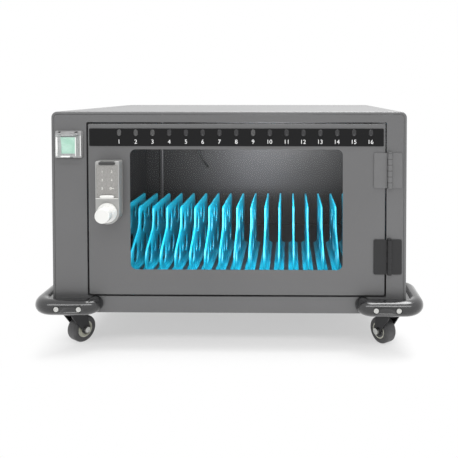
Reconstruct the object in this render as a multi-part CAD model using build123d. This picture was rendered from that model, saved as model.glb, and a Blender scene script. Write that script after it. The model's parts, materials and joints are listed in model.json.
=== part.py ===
"""Laptop charging cabinet on swivel castors, in millimetres.

The pieces are drawn with y = 0 at the case's front face, +Y towards the back and z = 0 on the floor. Saving a piece
moves it back by half of the whole footprint, so that the origin ends up under the middle of the cabinet.
"""

from build123d import *
from math import cos, pi, sin
import os

# Case
CASE_W = 660.0
CASE_D = 480.0
CASE_H = 376.0
CASE_CORNER_R = 11.0
SHEET = 1.2
EDGE_BEND_R = 2.0
FRONT_LIP = 5.0
REAR_LIP = 14.0
SEAM = 0.6
SEAT = 0.2
PAN_FLANGE = 20.0

# Front frame, measured from the edges of the case to the door
LEFT_STILE = 68.5
RIGHT_STILE = 40.0
TOP_RAIL = 22.5
BOTTOM_RAIL = 33.5
DOOR_GAP = 3.0
FRAME_RETURN = 14.0

# Door
DOOR_DEPTH = 16.0
DOOR_LIP = 9.0
DOOR_CORNER_R = 3.0
WINDOW_SIDE = 78.0
WINDOW_END = 47.5
WINDOW_R = 11.0
PANE_T = 3.0
PANE_LAP = 9.0
RETAINER_T = 1.5
RETAINER_LAP = 5.0

# Indicator strip on the top rail of the door
BAY_COUNT = 16
STRIP_MARGIN = 3.0
STRIP_H = 32.6
STRIP_T = 1.5
STRIP_BELOW_DOOR_TOP = 25.0
LIGHT_PITCH = 31.1
LIGHT_W = 8.0
LIGHT_H = 12.0
LIGHT_CHAMFER = 2.4
LIGHT_ABOVE_STRIP = 8.5
LIGHT_OFFSET = 16.0
LIGHT_PROUD = 0.3
BOARD_T = 1.6
BOARD_H = 22.0

# Combination lock
LOCK_FROM_DOOR_EDGE = 42.5
LOCK_ABOVE_BASE = 192.5
LOCK_W = 44.0
LOCK_TOP = 94.0
LOCK_DEPTH = 22.0
LOCK_EDGE_R = 3.0
KEYPAD_MARGIN = 2.6
KEYPAD_TOP = 7.0
KEYPAD_H = 61.0
KEYPAD_T = 1.3
KEYPAD_SINK = 0.3
SLOT_W = 26.0
SLOT_H = 5.0
SLOT_DEPTH = 8.0
BAR_W = 28.0
BAR_H = 5.0
BAR_T = 1.5
KNOB_R = 13.5
KNOB_PROUD = 30.0
KNOB_RINGS = ((18.0, 4.0), (16.6, 3.0), (15.2, 2.5))
SPINDLE_R = 5.0
RUNNING = 0.05
BARREL_R = 9.0
BARREL_LENGTH = 12.0
CAM_LENGTH = 57.0
CAM_W = 16.0
CAM_T = 2.5
CAM_CLEAR = 0.8
STRIKE_T = 2.0
STRIKE_H = 45.0
STRIKE_W = 20.0
CATCH_CLEAR = 0.5

# Butt hinges
HINGE_H = 65.0
HINGE_Z = (74.0, 235.0)
KNUCKLES = 6
KNUCKLE_R = 4.4
KNUCKLE_GAP = 0.3
HINGE_PIN_R = 2.25
HINGE_PIN_HEAD_R = 3.8
HINGE_PIN_HEAD_T = 1.8
LEAF_T = 2.2
LEAF_R = 3.0
DOOR_LEAF_W = 24.0
FRAME_LEAF_W = 18.4
HINGE_AXIS_GAP = 8.0
HINGE_FACE_GAP = 0.4

# Power switch with its flip-up splash cover
SWITCH_FROM_SIDE = 34.0
SWITCH_ABOVE_BASE = 315.0
BEZEL_W = 50.0
BEZEL_H = 51.0
BEZEL_T = 4.0
BEZEL_R = 3.0
ROCKER_W = 27.0
ROCKER_H = 31.0
ROCKER_SIDE_CLEAR = 0.5
ROCKER_END_CLEAR = 1.3
ROCKER_TILT = 8.0
ROCKER_PROUD = 6.0
ROCKER_PIVOT_Y = 3.0
ROCKER_BACK = 5.0
WELL_DEPTH = 11.0
SWITCH_BODY_T = 2.0
SWITCH_BODY_DEPTH = 26.0
COVER_W = 39.0
COVER_T = 1.4
COVER_DEPTH = 14.0
COVER_GAP = 0.4
COVER_BELOW = 22.5
COVER_PIVOT_UP = 20.0
COVER_LUG_R = 3.4
COVER_PIN_R = 1.5
HINGE_BLOCK_W = 25.0

# Charging bay
PARTITION_FRONT = 32.0
PARTITION_REAR_GAP = 12.0
PARTITION_FLANGE = 12.0
REAR_SPACE = 42.0
TRAY_ABOVE_BASE = 60.0
TRAY_FRONT = 24.0
TRAY_SIDE_GAP = 0.4
BAY_PITCH = 28.8
RACK_X = 6.0
DIVIDER_T = 3.5
DIVIDER_FRONT = 42.0
DIVIDER_SHOULDER = 60.0
DIVIDER_LENGTH = 220.0
DIVIDER_LOW = 38.6
DIVIDER_MID = 76.6
DIVIDER_HIGH = 117.5
DIVIDER_BEND_R = 28.0
DIVIDER_TOP_R = 12.0
FOOT_W = 20.0
FOOT_T = 2.0
OVAL_FLATS = 14
# Each hole: distance behind the divider's front, height above the tray, width, height
DIVIDER_HOLES = (
    (31.5, 30.0, 30.0, 36.0),
    (87.0, 83.0, 30.0, 45.0),
    (108.0, 32.0, 30.0, 38.0),
    (163.0, 83.0, 30.0, 45.0),
    (184.0, 32.0, 30.0, 38.0),
)

# Rear and electrical pieces
VENT_ROWS = 7
VENT_W = 110.0
VENT_H = 5.0
VENT_PITCH = 13.0
VENT_X = 150.0
VENT_ABOVE_BASE = 250.0
INLET_X = -240.0
INLET_ABOVE_BASE = 70.0
INLET_W = 50.0
INLET_H = 26.0
INLET_FLANGE_T = 2.5
INLET_BODY_W = 30.0
INLET_BODY_H = 22.0
INLET_BODY_DEPTH = 24.0
INLET_RECESS_W = 24.5
INLET_RECESS_H = 16.5
INLET_RECESS_DEPTH = 16.0
BLADE_W = 2.0
BLADE_H = 5.0
BLADE_PITCH = 7.0
CHARGER_W = 48.0
CHARGER_D = 280.0
CHARGER_H = 96.0
CHARGER_FRONT = 90.0
SOCKET_W = 26.0
SOCKET_DEPTH = 6.0
SOCKET_COUNT = 6
LEAD_R = 1.5
LEAD_GROMMET_R = 4.0
LEAD_X = -103.0
LEAD_ABOVE_BASE = 214.0
LEAD_DRAWN_RISE = 160.6
LEAD_BENDS = (24.0, 50.0, 60.0, 60.0)
SCREW_R = 2.0
SCREW_HEAD_R = 4.0
SCREW_HEAD_T = 2.0
SCREW_HOLE_CLEAR = 0.2
SCREW_LENGTH = 8.0

# Corner bumpers
BUMPER_R = 14.5
BUMPER_FLATS = 16
BUMPER_PROUD = 33.0
BUMPER_ABOVE_BASE = 17.5
BUMPER_ARM = 80.5
BUMPER_CORNER_R = 26.0
BUMPER_END_R = 16.0
BUMPER_GAP = 0.4
WEB_T = 8.0
WEB_RAISE = 5.5
BUMPER_SCREWS = (19.0, 60.0)
BUMPER_SCREW_R = 2.5
BUMPER_SCREW_HEAD_R = 4.6
BUMPER_SCREW_HEAD_T = 2.6
BUMPER_SCREW_SINK = 3.4
BUMPER_SINK_CLEAR = 1.2

# Castors
CASTOR_H = 76.0
CASTOR_X_INSET = 24.0
CASTOR_Y_INSET = 36.0
CASTOR_PLATE = 42.0
CASTOR_PLATE_T = 2.5
CASTOR_YAW = 34.0
RACE_R = 16.0
RACE_H = 7.5
KINGPIN_R = 5.0
KINGPIN_HEAD_R = 7.5
KINGPIN_HEAD_T = 2.5
CROWN_R = 19.0
CROWN_T = 4.5
CROWN_GAP = 0.4
FORK_T = 2.5
FORK_GAP = 3.0
TRAIL = 18.0
WHEEL_R = 25.0
WHEEL_W = 20.0
TREAD_EDGE_R = 5.0
CORE_R = 15.5
CORE_DISH = 3.0
CORE_RIM = 2.5
HUB_PROUD = 1.0
HUB_R = 8.0
AXLE_R = 4.0
AXLE_HEAD_R = 6.0
AXLE_HEAD_T = 4.5
EYE_R = 8.5

# Places that follow from the sizes above
BASE = CASTOR_H
HALF_W = CASE_W / 2
TOP = BASE + CASE_H
KNOB_Y = -LOCK_DEPTH - KNOB_PROUD
MIDDLE_Y = (KNOB_Y + CASE_D + BUMPER_PROUD) / 2
DOOR_X = (-HALF_W + LEFT_STILE, HALF_W - RIGHT_STILE)
DOOR_Z = (BASE + BOTTOM_RAIL, TOP - TOP_RAIL)
WINDOW_X = (DOOR_X[0] + WINDOW_SIDE, DOOR_X[1] - WINDOW_SIDE)
WINDOW_Z = (DOOR_Z[0] + WINDOW_END, DOOR_Z[1] - WINDOW_END)
LOCK_X = DOOR_X[0] + LOCK_FROM_DOOR_EDGE
LOCK_Z = BASE + LOCK_ABOVE_BASE
HINGE_X = DOOR_X[1] + HINGE_AXIS_GAP
HINGE_Y = -(KNUCKLE_R + HINGE_FACE_GAP)
SWITCH_X = -HALF_W + SWITCH_FROM_SIDE
SWITCH_Z = BASE + SWITCH_ABOVE_BASE
WELL_W = ROCKER_W + 2 * ROCKER_SIDE_CLEAR
WELL_H = ROCKER_H + 2 * ROCKER_END_CLEAR
COVER_PIVOT_Y = -BEZEL_T - COVER_GAP - COVER_LUG_R
COVER_PIVOT_Z = SWITCH_Z + COVER_PIVOT_UP
PARTITION_X = DOOR_X[0] - DOOR_GAP
REAR_WALL_Y = CASE_D - REAR_SPACE
TRAY_Z = BASE + TRAY_ABOVE_BASE
PANEL_Y = (CASE_D - 2 * SHEET - SEAT, CASE_D - SHEET - SEAT)
BUMPER_Z = BASE + BUMPER_ABOVE_BASE
BUMPER_OUT = BUMPER_PROUD - BUMPER_R
FORK_HALF = WHEEL_W / 2 + FORK_GAP + FORK_T
CROWN_TOP = CASTOR_H - CASTOR_PLATE_T - RACE_H - CROWN_GAP
INLET_Z = BASE + INLET_ABOVE_BASE
CASTORS = {"front_left": (-1, 0), "front_right": (1, 0), "rear_left": (-1, 1), "rear_right": (1, 1)}


def block(x, y, z):
    """A box between two values on each axis."""
    sizes = [high - low for low, high in (x, y, z)]
    middle = [(low + high) / 2 for low, high in (x, y, z)]
    return Pos(*middle) * Box(*sizes)


def panel(x, z, y, radius):
    """A plate facing the front, with rounded corners, between two values on each axis."""
    plane = Plane(origin=((x[0] + x[1]) / 2, y[0], (z[0] + z[1]) / 2), x_dir=(1, 0, 0), z_dir=(0, -1, 0))
    return extrude(plane * RectangleRounded(x[1] - x[0], z[1] - z[0], radius), amount=y[0] - y[1])


def rod(start, direction, length, radius):
    """A round bar from a point along a direction."""
    return extrude(Plane(origin=start, z_dir=direction) * Circle(radius), amount=length)


def grown(pair, amount):
    """A pair of limits moved outwards at both ends."""
    return (pair[0] - amount, pair[1] + amount)


def save(name, *pieces):
    """Write one node, moved so that the origin lies under the middle of the footprint."""
    moved = [Pos(0, -MIDDLE_Y, 0) * piece for piece in pieces]
    solids = [solid for piece in moved for solid in piece.solids()]
    export_step(Compound(children=solids) if len(solids) > 1 else solids[0], f"parts/{name}.step")


def case_prism(inset, y, drop=0.0):
    """The case's outline, with its two rounded top corners, pulled in by an inset and run along the depth."""
    height = CASE_H - inset + drop
    outline = Rectangle(CASE_W - 2 * inset, height)
    outline = fillet(outline.vertices().group_by(Axis.Y)[-1], CASE_CORNER_R - inset)
    plane = Plane(origin=(0, y[0], BASE - drop + height / 2), x_dir=(1, 0, 0), z_dir=(0, -1, 0))
    return extrude(plane * outline, amount=y[0] - y[1])


def outer_shell():
    """Top and both sides bent from one sheet, with a narrow lip turned in round the front and a wider one behind."""
    whole = case_prism(0, (0, CASE_D))
    front = whole.faces().sort_by(Axis.Y)[0].edges().sort_by(Axis.Z)[1:]
    bent = fillet(front, EDGE_BEND_R)
    bent -= case_prism(SHEET, (SHEET, CASE_D - SHEET), SHEET)
    bent -= case_prism(FRONT_LIP, (-SHEET, SHEET), SHEET)
    rear_x = (-HALF_W + REAR_LIP, HALF_W - REAR_LIP)
    bent -= panel(rear_x, (BASE - 2 * REAR_LIP, TOP - REAR_LIP), (CASE_D - 2 * SHEET, CASE_D + SHEET), EDGE_BEND_R)
    for x, z in rear_screw_places():
        bent -= rod((x, CASE_D - 2 * SHEET, z), (0, 1, 0), 3 * SHEET, SCREW_R + SCREW_HOLE_CLEAR)
    return bent


def rear_screw_places():
    """Three screws down each side of the back panel, in the middle of the rear lip."""
    heights = (BASE + CASE_H / 5, BASE + CASE_H / 2, TOP - CASE_H / 8)
    return [(side * (HALF_W - REAR_LIP / 2), z) for side in (-1, 1) for z in heights]


def bumper_screw_places():
    """The screws through the front and rear arms, as x and the end of the case that they enter."""
    return [(side * (HALF_W - place), end) for side in (-1, 1) for place in BUMPER_SCREWS for end in (0, 1)]


def bumper_screw_holes(y):
    """Clearance holes in a sheet, for the bumper screws of one end."""
    end = 0 if y[0] < CASE_D / 2 else 1
    length = y[1] - y[0]
    return [
        rod((x, y[0], BUMPER_Z), (0, 1, 0), length, BUMPER_SCREW_R + SCREW_HOLE_CLEAR)
        for x, at in bumper_screw_places()
        if at == end
    ]


def base_pan():
    """Floor sheet with its four edges turned up inside the shell."""
    half = HALF_W - SHEET - SEAT
    y = (SHEET + SEAT, PANEL_Y[0] - SEAT)
    pan = block((-half, half), y, (BASE, BASE + PAN_FLANGE))
    pan -= block((-half + SHEET, half - SHEET), (y[0] + SHEET, y[1] - SHEET), (BASE + SHEET, BASE + PAN_FLANGE))
    for hole in bumper_screw_holes((y[0] - 1, y[0] + SHEET + 1)) + bumper_screw_holes((y[1] - SHEET - 1, y[1] + 1)):
        pan -= hole
    return pan


def front_frame():
    """Front sheet with the door opening, whose edges are turned back as a stiffening return."""
    inset = FRONT_LIP + SEAM
    frame = case_prism(inset, (0, SHEET))
    opening_x, opening_z = grown(DOOR_X, DOOR_GAP), grown(DOOR_Z, DOOR_GAP)
    frame += panel(grown(opening_x, SHEET), grown(opening_z, SHEET), (0, FRAME_RETURN), DOOR_CORNER_R + SHEET)
    frame -= panel(opening_x, opening_z, (-SHEET, FRAME_RETURN + SHEET), DOOR_CORNER_R)
    body = SWITCH_BODY_T + SEAT
    switch_x = (SWITCH_X - WELL_W / 2 - body, SWITCH_X + WELL_W / 2 + body)
    switch_z = (SWITCH_Z - WELL_H / 2 - body, SWITCH_Z + WELL_H / 2 + body)
    frame -= block(switch_x, (-SHEET, 2 * SHEET), switch_z)
    for hole in bumper_screw_holes((-SHEET, 2 * SHEET)):
        frame -= hole
    return frame


def back_panel():
    """Rear sheet behind the lip, with two groups of cooling slots and the cut-out of the power inlet."""
    half = HALF_W - SHEET - 2 * SEAT
    z = (BASE + SHEET, TOP - SHEET - 2 * SEAT)
    sheet = panel((-half, half), z, PANEL_Y, CASE_CORNER_R - SHEET)
    cut = (PANEL_Y[0] - SHEET, PANEL_Y[1] + SHEET)
    for side in (-1, 1):
        for row in range(VENT_ROWS):
            low = BASE + VENT_ABOVE_BASE + (row - VENT_ROWS / 2) * VENT_PITCH
            slot_x = (side * VENT_X - VENT_W / 2, side * VENT_X + VENT_W / 2)
            sheet -= block(slot_x, cut, (low, low + VENT_H))
    inlet_x = grown((INLET_X - INLET_BODY_W / 2, INLET_X + INLET_BODY_W / 2), SEAT)
    inlet_z = grown((INLET_Z - INLET_BODY_H / 2, INLET_Z + INLET_BODY_H / 2), SEAT)
    sheet -= block(inlet_x, cut, inlet_z)
    for x, z in rear_screw_places():
        sheet -= rod((x, cut[0], z), (0, 1, 0), 3 * SHEET, SCREW_R + SCREW_HOLE_CLEAR)
    for hole in bumper_screw_holes(cut):
        sheet -= hole
    return sheet


def side_partition():
    """Wall between the charging bay and the switch compartment, with a flange at its front and foot."""
    y = (PARTITION_FRONT, REAR_WALL_Y - PARTITION_REAR_GAP)
    z = (BASE + SHEET + SEAT, TOP - SHEET - SEAT)
    wall = block((PARTITION_X - SHEET, PARTITION_X), y, z)
    wall += block((PARTITION_X - PARTITION_FLANGE, PARTITION_X), (y[0], y[0] + SHEET), z)
    wall += block((PARTITION_X - PARTITION_FLANGE, PARTITION_X), y, (z[0], z[0] + SHEET))
    return wall


def rear_partition():
    """Back wall of the charging bay, in front of the wiring space."""
    half = HALF_W - 2 * SHEET - 2 * SEAT
    y = (REAR_WALL_Y, REAR_WALL_Y + SHEET)
    wall = panel((-half, half), (BASE + SHEET + SEAT, TOP - SHEET - SEAT), y, CASE_CORNER_R - SHEET)
    lead_z = BASE + LEAD_ABOVE_BASE
    wall -= rod((LEAD_X, y[0] - 1, lead_z), (0, 1, 0), SHEET + 2, LEAD_R + SEAT)
    return wall


def divider_tray():
    """Raised floor of the charging bay, a sheet with its front and rear edges turned down to the pan."""
    x = (PARTITION_X + TRAY_SIDE_GAP, HALF_W - 2 * SHEET - 2 * SEAT)
    y = (TRAY_FRONT, REAR_WALL_Y - SEAT)
    foot = BASE + SHEET + SEAT
    tray = block(x, y, (TRAY_Z - SHEET, TRAY_Z))
    for front in (y[0], y[1] - SHEET):
        tray += block(x, (front, front + SHEET), (foot, TRAY_Z))
    return tray


def oval(half_width, half_height):
    """An oval drawn with flats, because it repeats in every divider."""
    turns = [2 * pi * i / OVAL_FLATS for i in range(OVAL_FLATS)]
    return make_face(Polyline(*[(half_width * cos(turn), half_height * sin(turn)) for turn in turns], close=True))


def divider(x):
    """Moulded divider: a thin upright with a stepped front and oval windows, flared into a broad foot."""
    back = DIVIDER_FRONT + DIVIDER_LENGTH
    shoulder = DIVIDER_FRONT + DIVIDER_SHOULDER
    edge = FilletPolyline(
        (DIVIDER_FRONT, TRAY_Z),
        (DIVIDER_FRONT, TRAY_Z + DIVIDER_LOW),
        (shoulder, TRAY_Z + DIVIDER_MID),
        (shoulder, TRAY_Z + DIVIDER_HIGH),
        (back, TRAY_Z + DIVIDER_HIGH),
        (back, TRAY_Z),
        radius=[DIVIDER_BEND_R, DIVIDER_BEND_R, DIVIDER_TOP_R, DIVIDER_TOP_R],
    )
    side = make_face(edge + Line((back, TRAY_Z), (DIVIDER_FRONT, TRAY_Z)))
    for along, up, width, height in DIVIDER_HOLES:
        side -= Pos(DIVIDER_FRONT + along, TRAY_Z + up) * oval(width / 2, height / 2)
    upright = extrude(Plane(origin=(x - DIVIDER_T / 2, 0, 0), x_dir=(0, 1, 0), z_dir=(1, 0, 0)) * side, amount=DIVIDER_T)
    half, rise = FOOT_W / 2, (FOOT_W - DIVIDER_T) / 2
    bend = rise * sin(pi / 4)
    right = ThreePointArc((half, FOOT_T), (half - bend, FOOT_T + rise - bend), (half - rise, FOOT_T + rise))
    left = ThreePointArc((rise - half, FOOT_T + rise), (bend - half, FOOT_T + rise - bend), (-half, FOOT_T))
    flare = Line((-half, FOOT_T), (-half, 0)) + Line((-half, 0), (half, 0)) + Line((half, 0), (half, FOOT_T))
    flare = make_face(flare + right + Line((half - rise, FOOT_T + rise), (rise - half, FOOT_T + rise)) + left)
    front = Plane(origin=(x, DIVIDER_FRONT, TRAY_Z), x_dir=(1, 0, 0), z_dir=(0, -1, 0))
    return upright + extrude(front * flare, amount=-DIVIDER_LENGTH)


def door_panel():
    """Door pan: a front sheet with the window cut out, its edges folded back and then inwards."""
    whole = panel(DOOR_X, DOOR_Z, (0, DOOR_DEPTH), DOOR_CORNER_R)
    whole = fillet(whole.faces().sort_by(Axis.Y)[0].edges(), SHEET)
    inner_r = DOOR_CORNER_R - SHEET
    whole -= panel(grown(DOOR_X, -SHEET), grown(DOOR_Z, -SHEET), (SHEET, DOOR_DEPTH - SHEET), inner_r)
    whole -= panel(grown(DOOR_X, -DOOR_LIP), grown(DOOR_Z, -DOOR_LIP), (SHEET, DOOR_DEPTH + SHEET), inner_r)
    whole -= panel(WINDOW_X, WINDOW_Z, (-SHEET, 2 * SHEET), WINDOW_R)
    whole -= rod((LOCK_X, -SHEET, LOCK_Z), (0, 1, 0), 3 * SHEET, BARREL_R + SEAT)
    return whole


def window_pane():
    """Clear pane behind the window opening."""
    y = (SHEET + SEAT, SHEET + SEAT + PANE_T)
    return panel(grown(WINDOW_X, PANE_LAP), grown(WINDOW_Z, PANE_LAP), y, WINDOW_R)


def window_retainer():
    """Pressed ring that holds the pane against the back of the door sheet."""
    back = SHEET + 2 * SEAT + PANE_T
    rim = PANE_LAP + SEAT + RETAINER_T
    ring = panel(grown(WINDOW_X, rim), grown(WINDOW_Z, rim), (SHEET + SEAT, back + RETAINER_T), WINDOW_R)
    ring -= panel(grown(WINDOW_X, PANE_LAP + SEAT), grown(WINDOW_Z, PANE_LAP + SEAT), (SHEET, back), WINDOW_R)
    inner = PANE_LAP - RETAINER_LAP
    ring -= panel(grown(WINDOW_X, inner), grown(WINDOW_Z, inner), (SHEET, back + 2 * RETAINER_T), WINDOW_R)
    return ring


def light_places():
    """The x of each bay's indicator light."""
    middle = (DOOR_X[0] + DOOR_X[1]) / 2 + LIGHT_OFFSET
    return [middle + (i - (BAY_COUNT - 1) / 2) * LIGHT_PITCH for i in range(BAY_COUNT)]


def light(x, margin, y):
    """One elongated indicator window with cut corners."""
    z = DOOR_Z[1] - STRIP_BELOW_DOOR_TOP + LIGHT_ABOVE_STRIP
    outline = Rectangle(LIGHT_W + 2 * margin, LIGHT_H + 2 * margin)
    outline = chamfer(outline.vertices(), LIGHT_CHAMFER)
    plane = Plane(origin=(x, y[0], z), x_dir=(1, 0, 0), z_dir=(0, -1, 0))
    return extrude(plane * outline, amount=y[0] - y[1])


def indicator_strip():
    """Black strip along the top rail of the door, pierced for the bay lights."""
    middle = DOOR_Z[1] - STRIP_BELOW_DOOR_TOP
    strip_z = (middle - STRIP_H / 2, middle + STRIP_H / 2)
    strip = panel(grown(DOOR_X, -STRIP_MARGIN), strip_z, (-STRIP_T, 0), EDGE_BEND_R)
    for x in light_places():
        strip -= light(x, SEAT / 2, (-2 * STRIP_T, STRIP_T))
    return strip


def led_board():
    """Circuit board of the bay lights, on the back of the door sheet."""
    places = light_places()
    middle = DOOR_Z[1] - STRIP_BELOW_DOOR_TOP
    x = (places[0] - LIGHT_W, places[-1] + LIGHT_W)
    z = (middle - BOARD_H / 2, middle + BOARD_H / 2)
    return block(x, (SHEET + SEAT, SHEET + SEAT + BOARD_T), z)


def lock_housing():
    """Lock case with a half-round foot round the knob, a keypad pocket, and the barrel that goes through the door."""
    top = LOCK_Z + LOCK_TOP
    plane = Plane(origin=(LOCK_X, -LOCK_DEPTH, LOCK_Z), x_dir=(1, 0, 0), z_dir=(0, -1, 0))
    upright = Rectangle(LOCK_W, LOCK_TOP, align=(Align.CENTER, Align.MIN))
    upright = fillet(upright.vertices().group_by(Axis.Y)[-1], LOCK_EDGE_R)
    case = extrude(plane * (upright + Circle(LOCK_W / 2)), amount=-LOCK_DEPTH)
    case = fillet(case.faces().sort_by(Axis.Y)[0].edges(), LOCK_EDGE_R / 2)
    x = grown((LOCK_X, LOCK_X), LOCK_W / 2 - KEYPAD_MARGIN + SEAT)
    pad_z = grown((top - KEYPAD_TOP - KEYPAD_H, top - KEYPAD_TOP), SEAT)
    case -= panel(x, pad_z, (-LOCK_DEPTH - 1, -LOCK_DEPTH + KEYPAD_T + KEYPAD_SINK), SHEET)
    slot_x = grown((LOCK_X, LOCK_X), SLOT_W / 2)
    case -= block(slot_x, (-LOCK_DEPTH - 1, -LOCK_DEPTH + SLOT_DEPTH), (top - SLOT_H, top + 1))
    bar_x = grown((LOCK_X, LOCK_X), BAR_W / 2)
    bar_z = (pad_z[0] - BAR_H, pad_z[0] - SEAT)
    case += panel(bar_x, bar_z, (-LOCK_DEPTH - BAR_T, -LOCK_DEPTH + 1), BAR_T)
    case += rod((LOCK_X, 0, LOCK_Z), (0, 1, 0), BARREL_LENGTH, BARREL_R)
    bore_length = LOCK_DEPTH + BARREL_LENGTH + 2
    return case - rod((LOCK_X, -LOCK_DEPTH - 1, LOCK_Z), (0, 1, 0), bore_length, SPINDLE_R + RUNNING)


def lock_keypad():
    """Satin touch panel of the lock, let into its pocket."""
    top = LOCK_Z + LOCK_TOP
    x = grown((LOCK_X, LOCK_X), LOCK_W / 2 - KEYPAD_MARGIN)
    front = -LOCK_DEPTH + KEYPAD_SINK
    return panel(x, (top - KEYPAD_TOP - KEYPAD_H, top - KEYPAD_TOP), (front, front + KEYPAD_T), SHEET)


def lock_knob():
    """Knob turned with stepped rings below its grip, in one piece with the spindle."""
    cam_back = DOOR_DEPTH + CAM_CLEAR + CAM_T
    y = -LOCK_DEPTH - SEAT
    points = [(0, cam_back), (SPINDLE_R, cam_back), (SPINDLE_R, y)]
    for radius, step in KNOB_RINGS:
        points += [(radius, y), (radius, y - step)]
        y -= step
    points += [(KNOB_R, y), (KNOB_R, KNOB_Y + LOCK_EDGE_R / 2), (KNOB_R - LOCK_EDGE_R / 2, KNOB_Y), (0, KNOB_Y)]
    profile = Plane(origin=(LOCK_X, 0, LOCK_Z), x_dir=(1, 0, 0), z_dir=(0, 0, 1)) * make_face(Polyline(*points, close=True))
    return revolve(profile, axis=Axis((LOCK_X, 0, LOCK_Z), (0, 1, 0)))


def lock_cam():
    """Flat cam on the spindle's inner end, hanging down when unlocked."""
    y = (DOOR_DEPTH + CAM_CLEAR, DOOR_DEPTH + CAM_CLEAR + CAM_T)
    arm = panel(grown((LOCK_X, LOCK_X), CAM_W / 2), (LOCK_Z - CAM_LENGTH, LOCK_Z + CAM_W / 2), y, CAM_W / 2 - SEAT)
    return arm - rod((LOCK_X, y[0] - 1, LOCK_Z), (0, 1, 0), CAM_T + 2, SPINDLE_R + RUNNING)


def strike_plate():
    """Stepped bracket behind the stile, whose raised face the cam turns behind."""
    catch = (DOOR_DEPTH + CAM_CLEAR - CATCH_CLEAR - STRIKE_T, DOOR_DEPTH + CAM_CLEAR - CATCH_CLEAR)
    z = (LOCK_Z - STRIKE_H / 2, LOCK_Z + STRIKE_H / 2)
    edge = DOOR_X[0] - DOOR_GAP
    step = edge - STRIKE_W
    base_y = (SHEET + SEAT, SHEET + SEAT + STRIKE_T)
    bracket = block((step - STRIKE_W, step), base_y, z)
    bracket += block((step - STRIKE_T, step), (base_y[0], catch[1]), z)
    return bracket + block((step - STRIKE_T, edge), catch, z)


def hinge_leaf(low, side):
    """One leaf of a butt hinge: the flat on the door (side -1) or the frame (side 1), with every other knuckle."""
    pitch = HINGE_H / KNUCKLES
    width = DOOR_LEAF_W if side < 0 else FRAME_LEAF_W
    inner = HINGE_X + side * (KNUCKLE_R + HINGE_FACE_GAP)
    x = sorted((inner, inner + side * width))
    leaf = panel(x, (low, low + HINGE_H), (-LEAF_T, 0), LEAF_R)
    leaf += block(sorted((inner, inner + side * LEAF_R)), (-LEAF_T, 0), (low + KNUCKLE_GAP, low + HINGE_H - KNUCKLE_GAP))
    for i in range(KNUCKLES):
        if (i % 2 == 0) == (side > 0):
            z = (low + i * pitch + KNUCKLE_GAP / 2, low + (i + 1) * pitch - KNUCKLE_GAP / 2)
            neck = block(sorted((HINGE_X, inner + side)), (-LEAF_T, -HINGE_FACE_GAP), z)
            leaf += rod((HINGE_X, HINGE_Y, z[0]), (0, 0, 1), z[1] - z[0], KNUCKLE_R) + neck
    return leaf - rod((HINGE_X, HINGE_Y, low - 1), (0, 0, 1), HINGE_H + 2, HINGE_PIN_R + RUNNING)


def hinge_pin(low):
    """Hinge pin with a flat head above the top knuckle."""
    pin = rod((HINGE_X, HINGE_Y, low), (0, 0, 1), HINGE_H + KNUCKLE_GAP, HINGE_PIN_R)
    return pin + rod((HINGE_X, HINGE_Y, low + HINGE_H + KNUCKLE_GAP), (0, 0, 1), HINGE_PIN_HEAD_T, HINGE_PIN_HEAD_R)


def switch_housing():
    """Switch body in the stile, with its bezel, the rocker's well and axle, and the hinge block of the splash cover."""
    bezel_x = grown((SWITCH_X, SWITCH_X), BEZEL_W / 2)
    bezel = panel(bezel_x, grown((SWITCH_Z, SWITCH_Z), BEZEL_H / 2), (-BEZEL_T, 0), BEZEL_R)
    body_x = grown((SWITCH_X, SWITCH_X), WELL_W / 2 + SWITCH_BODY_T)
    body_z = grown((SWITCH_Z, SWITCH_Z), WELL_H / 2 + SWITCH_BODY_T)
    bezel += block(body_x, (-BEZEL_T, SWITCH_BODY_DEPTH), body_z)
    well_x = grown((SWITCH_X, SWITCH_X), WELL_W / 2)
    bezel -= block(well_x, (-2 * BEZEL_T, WELL_DEPTH), grown((SWITCH_Z, SWITCH_Z), WELL_H / 2))
    block_x = grown((SWITCH_X, SWITCH_X), HINGE_BLOCK_W / 2)
    block_y = (COVER_PIVOT_Y - COVER_LUG_R, -BEZEL_T)
    bezel += block(block_x, block_y, grown((COVER_PIVOT_Z, COVER_PIVOT_Z), COVER_LUG_R))
    pin_length = COVER_W - 2 * SEAT
    bezel += rod((SWITCH_X - pin_length / 2, COVER_PIVOT_Y, COVER_PIVOT_Z), (1, 0, 0), pin_length, COVER_PIN_R)
    return bezel + rod((well_x[0], ROCKER_PIVOT_Y, SWITCH_Z), (1, 0, 0), WELL_W, COVER_PIN_R)


def switch_rocker():
    """Rocker with a shallow vee face, drawn level and then tilted about its axle."""
    half = ROCKER_H / 2
    outline = Polyline((ROCKER_BACK, -half + 4), (-ROCKER_PROUD, -half), (-ROCKER_PROUD + 2, 0), (-ROCKER_PROUD, half),
                       (ROCKER_BACK, half - 4), close=True)
    plane = Plane(origin=(SWITCH_X - ROCKER_W / 2, 0, SWITCH_Z), x_dir=(0, 1, 0), z_dir=(1, 0, 0))
    rocker = extrude(plane * make_face(outline), amount=ROCKER_W)
    pivot = (SWITCH_X - ROCKER_W, ROCKER_PIVOT_Y, SWITCH_Z)
    rocker -= rod(pivot, (1, 0, 0), 2 * ROCKER_W, COVER_PIN_R + RUNNING)
    return rocker.rotate(Axis(pivot, (1, 0, 0)), ROCKER_TILT)


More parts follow.
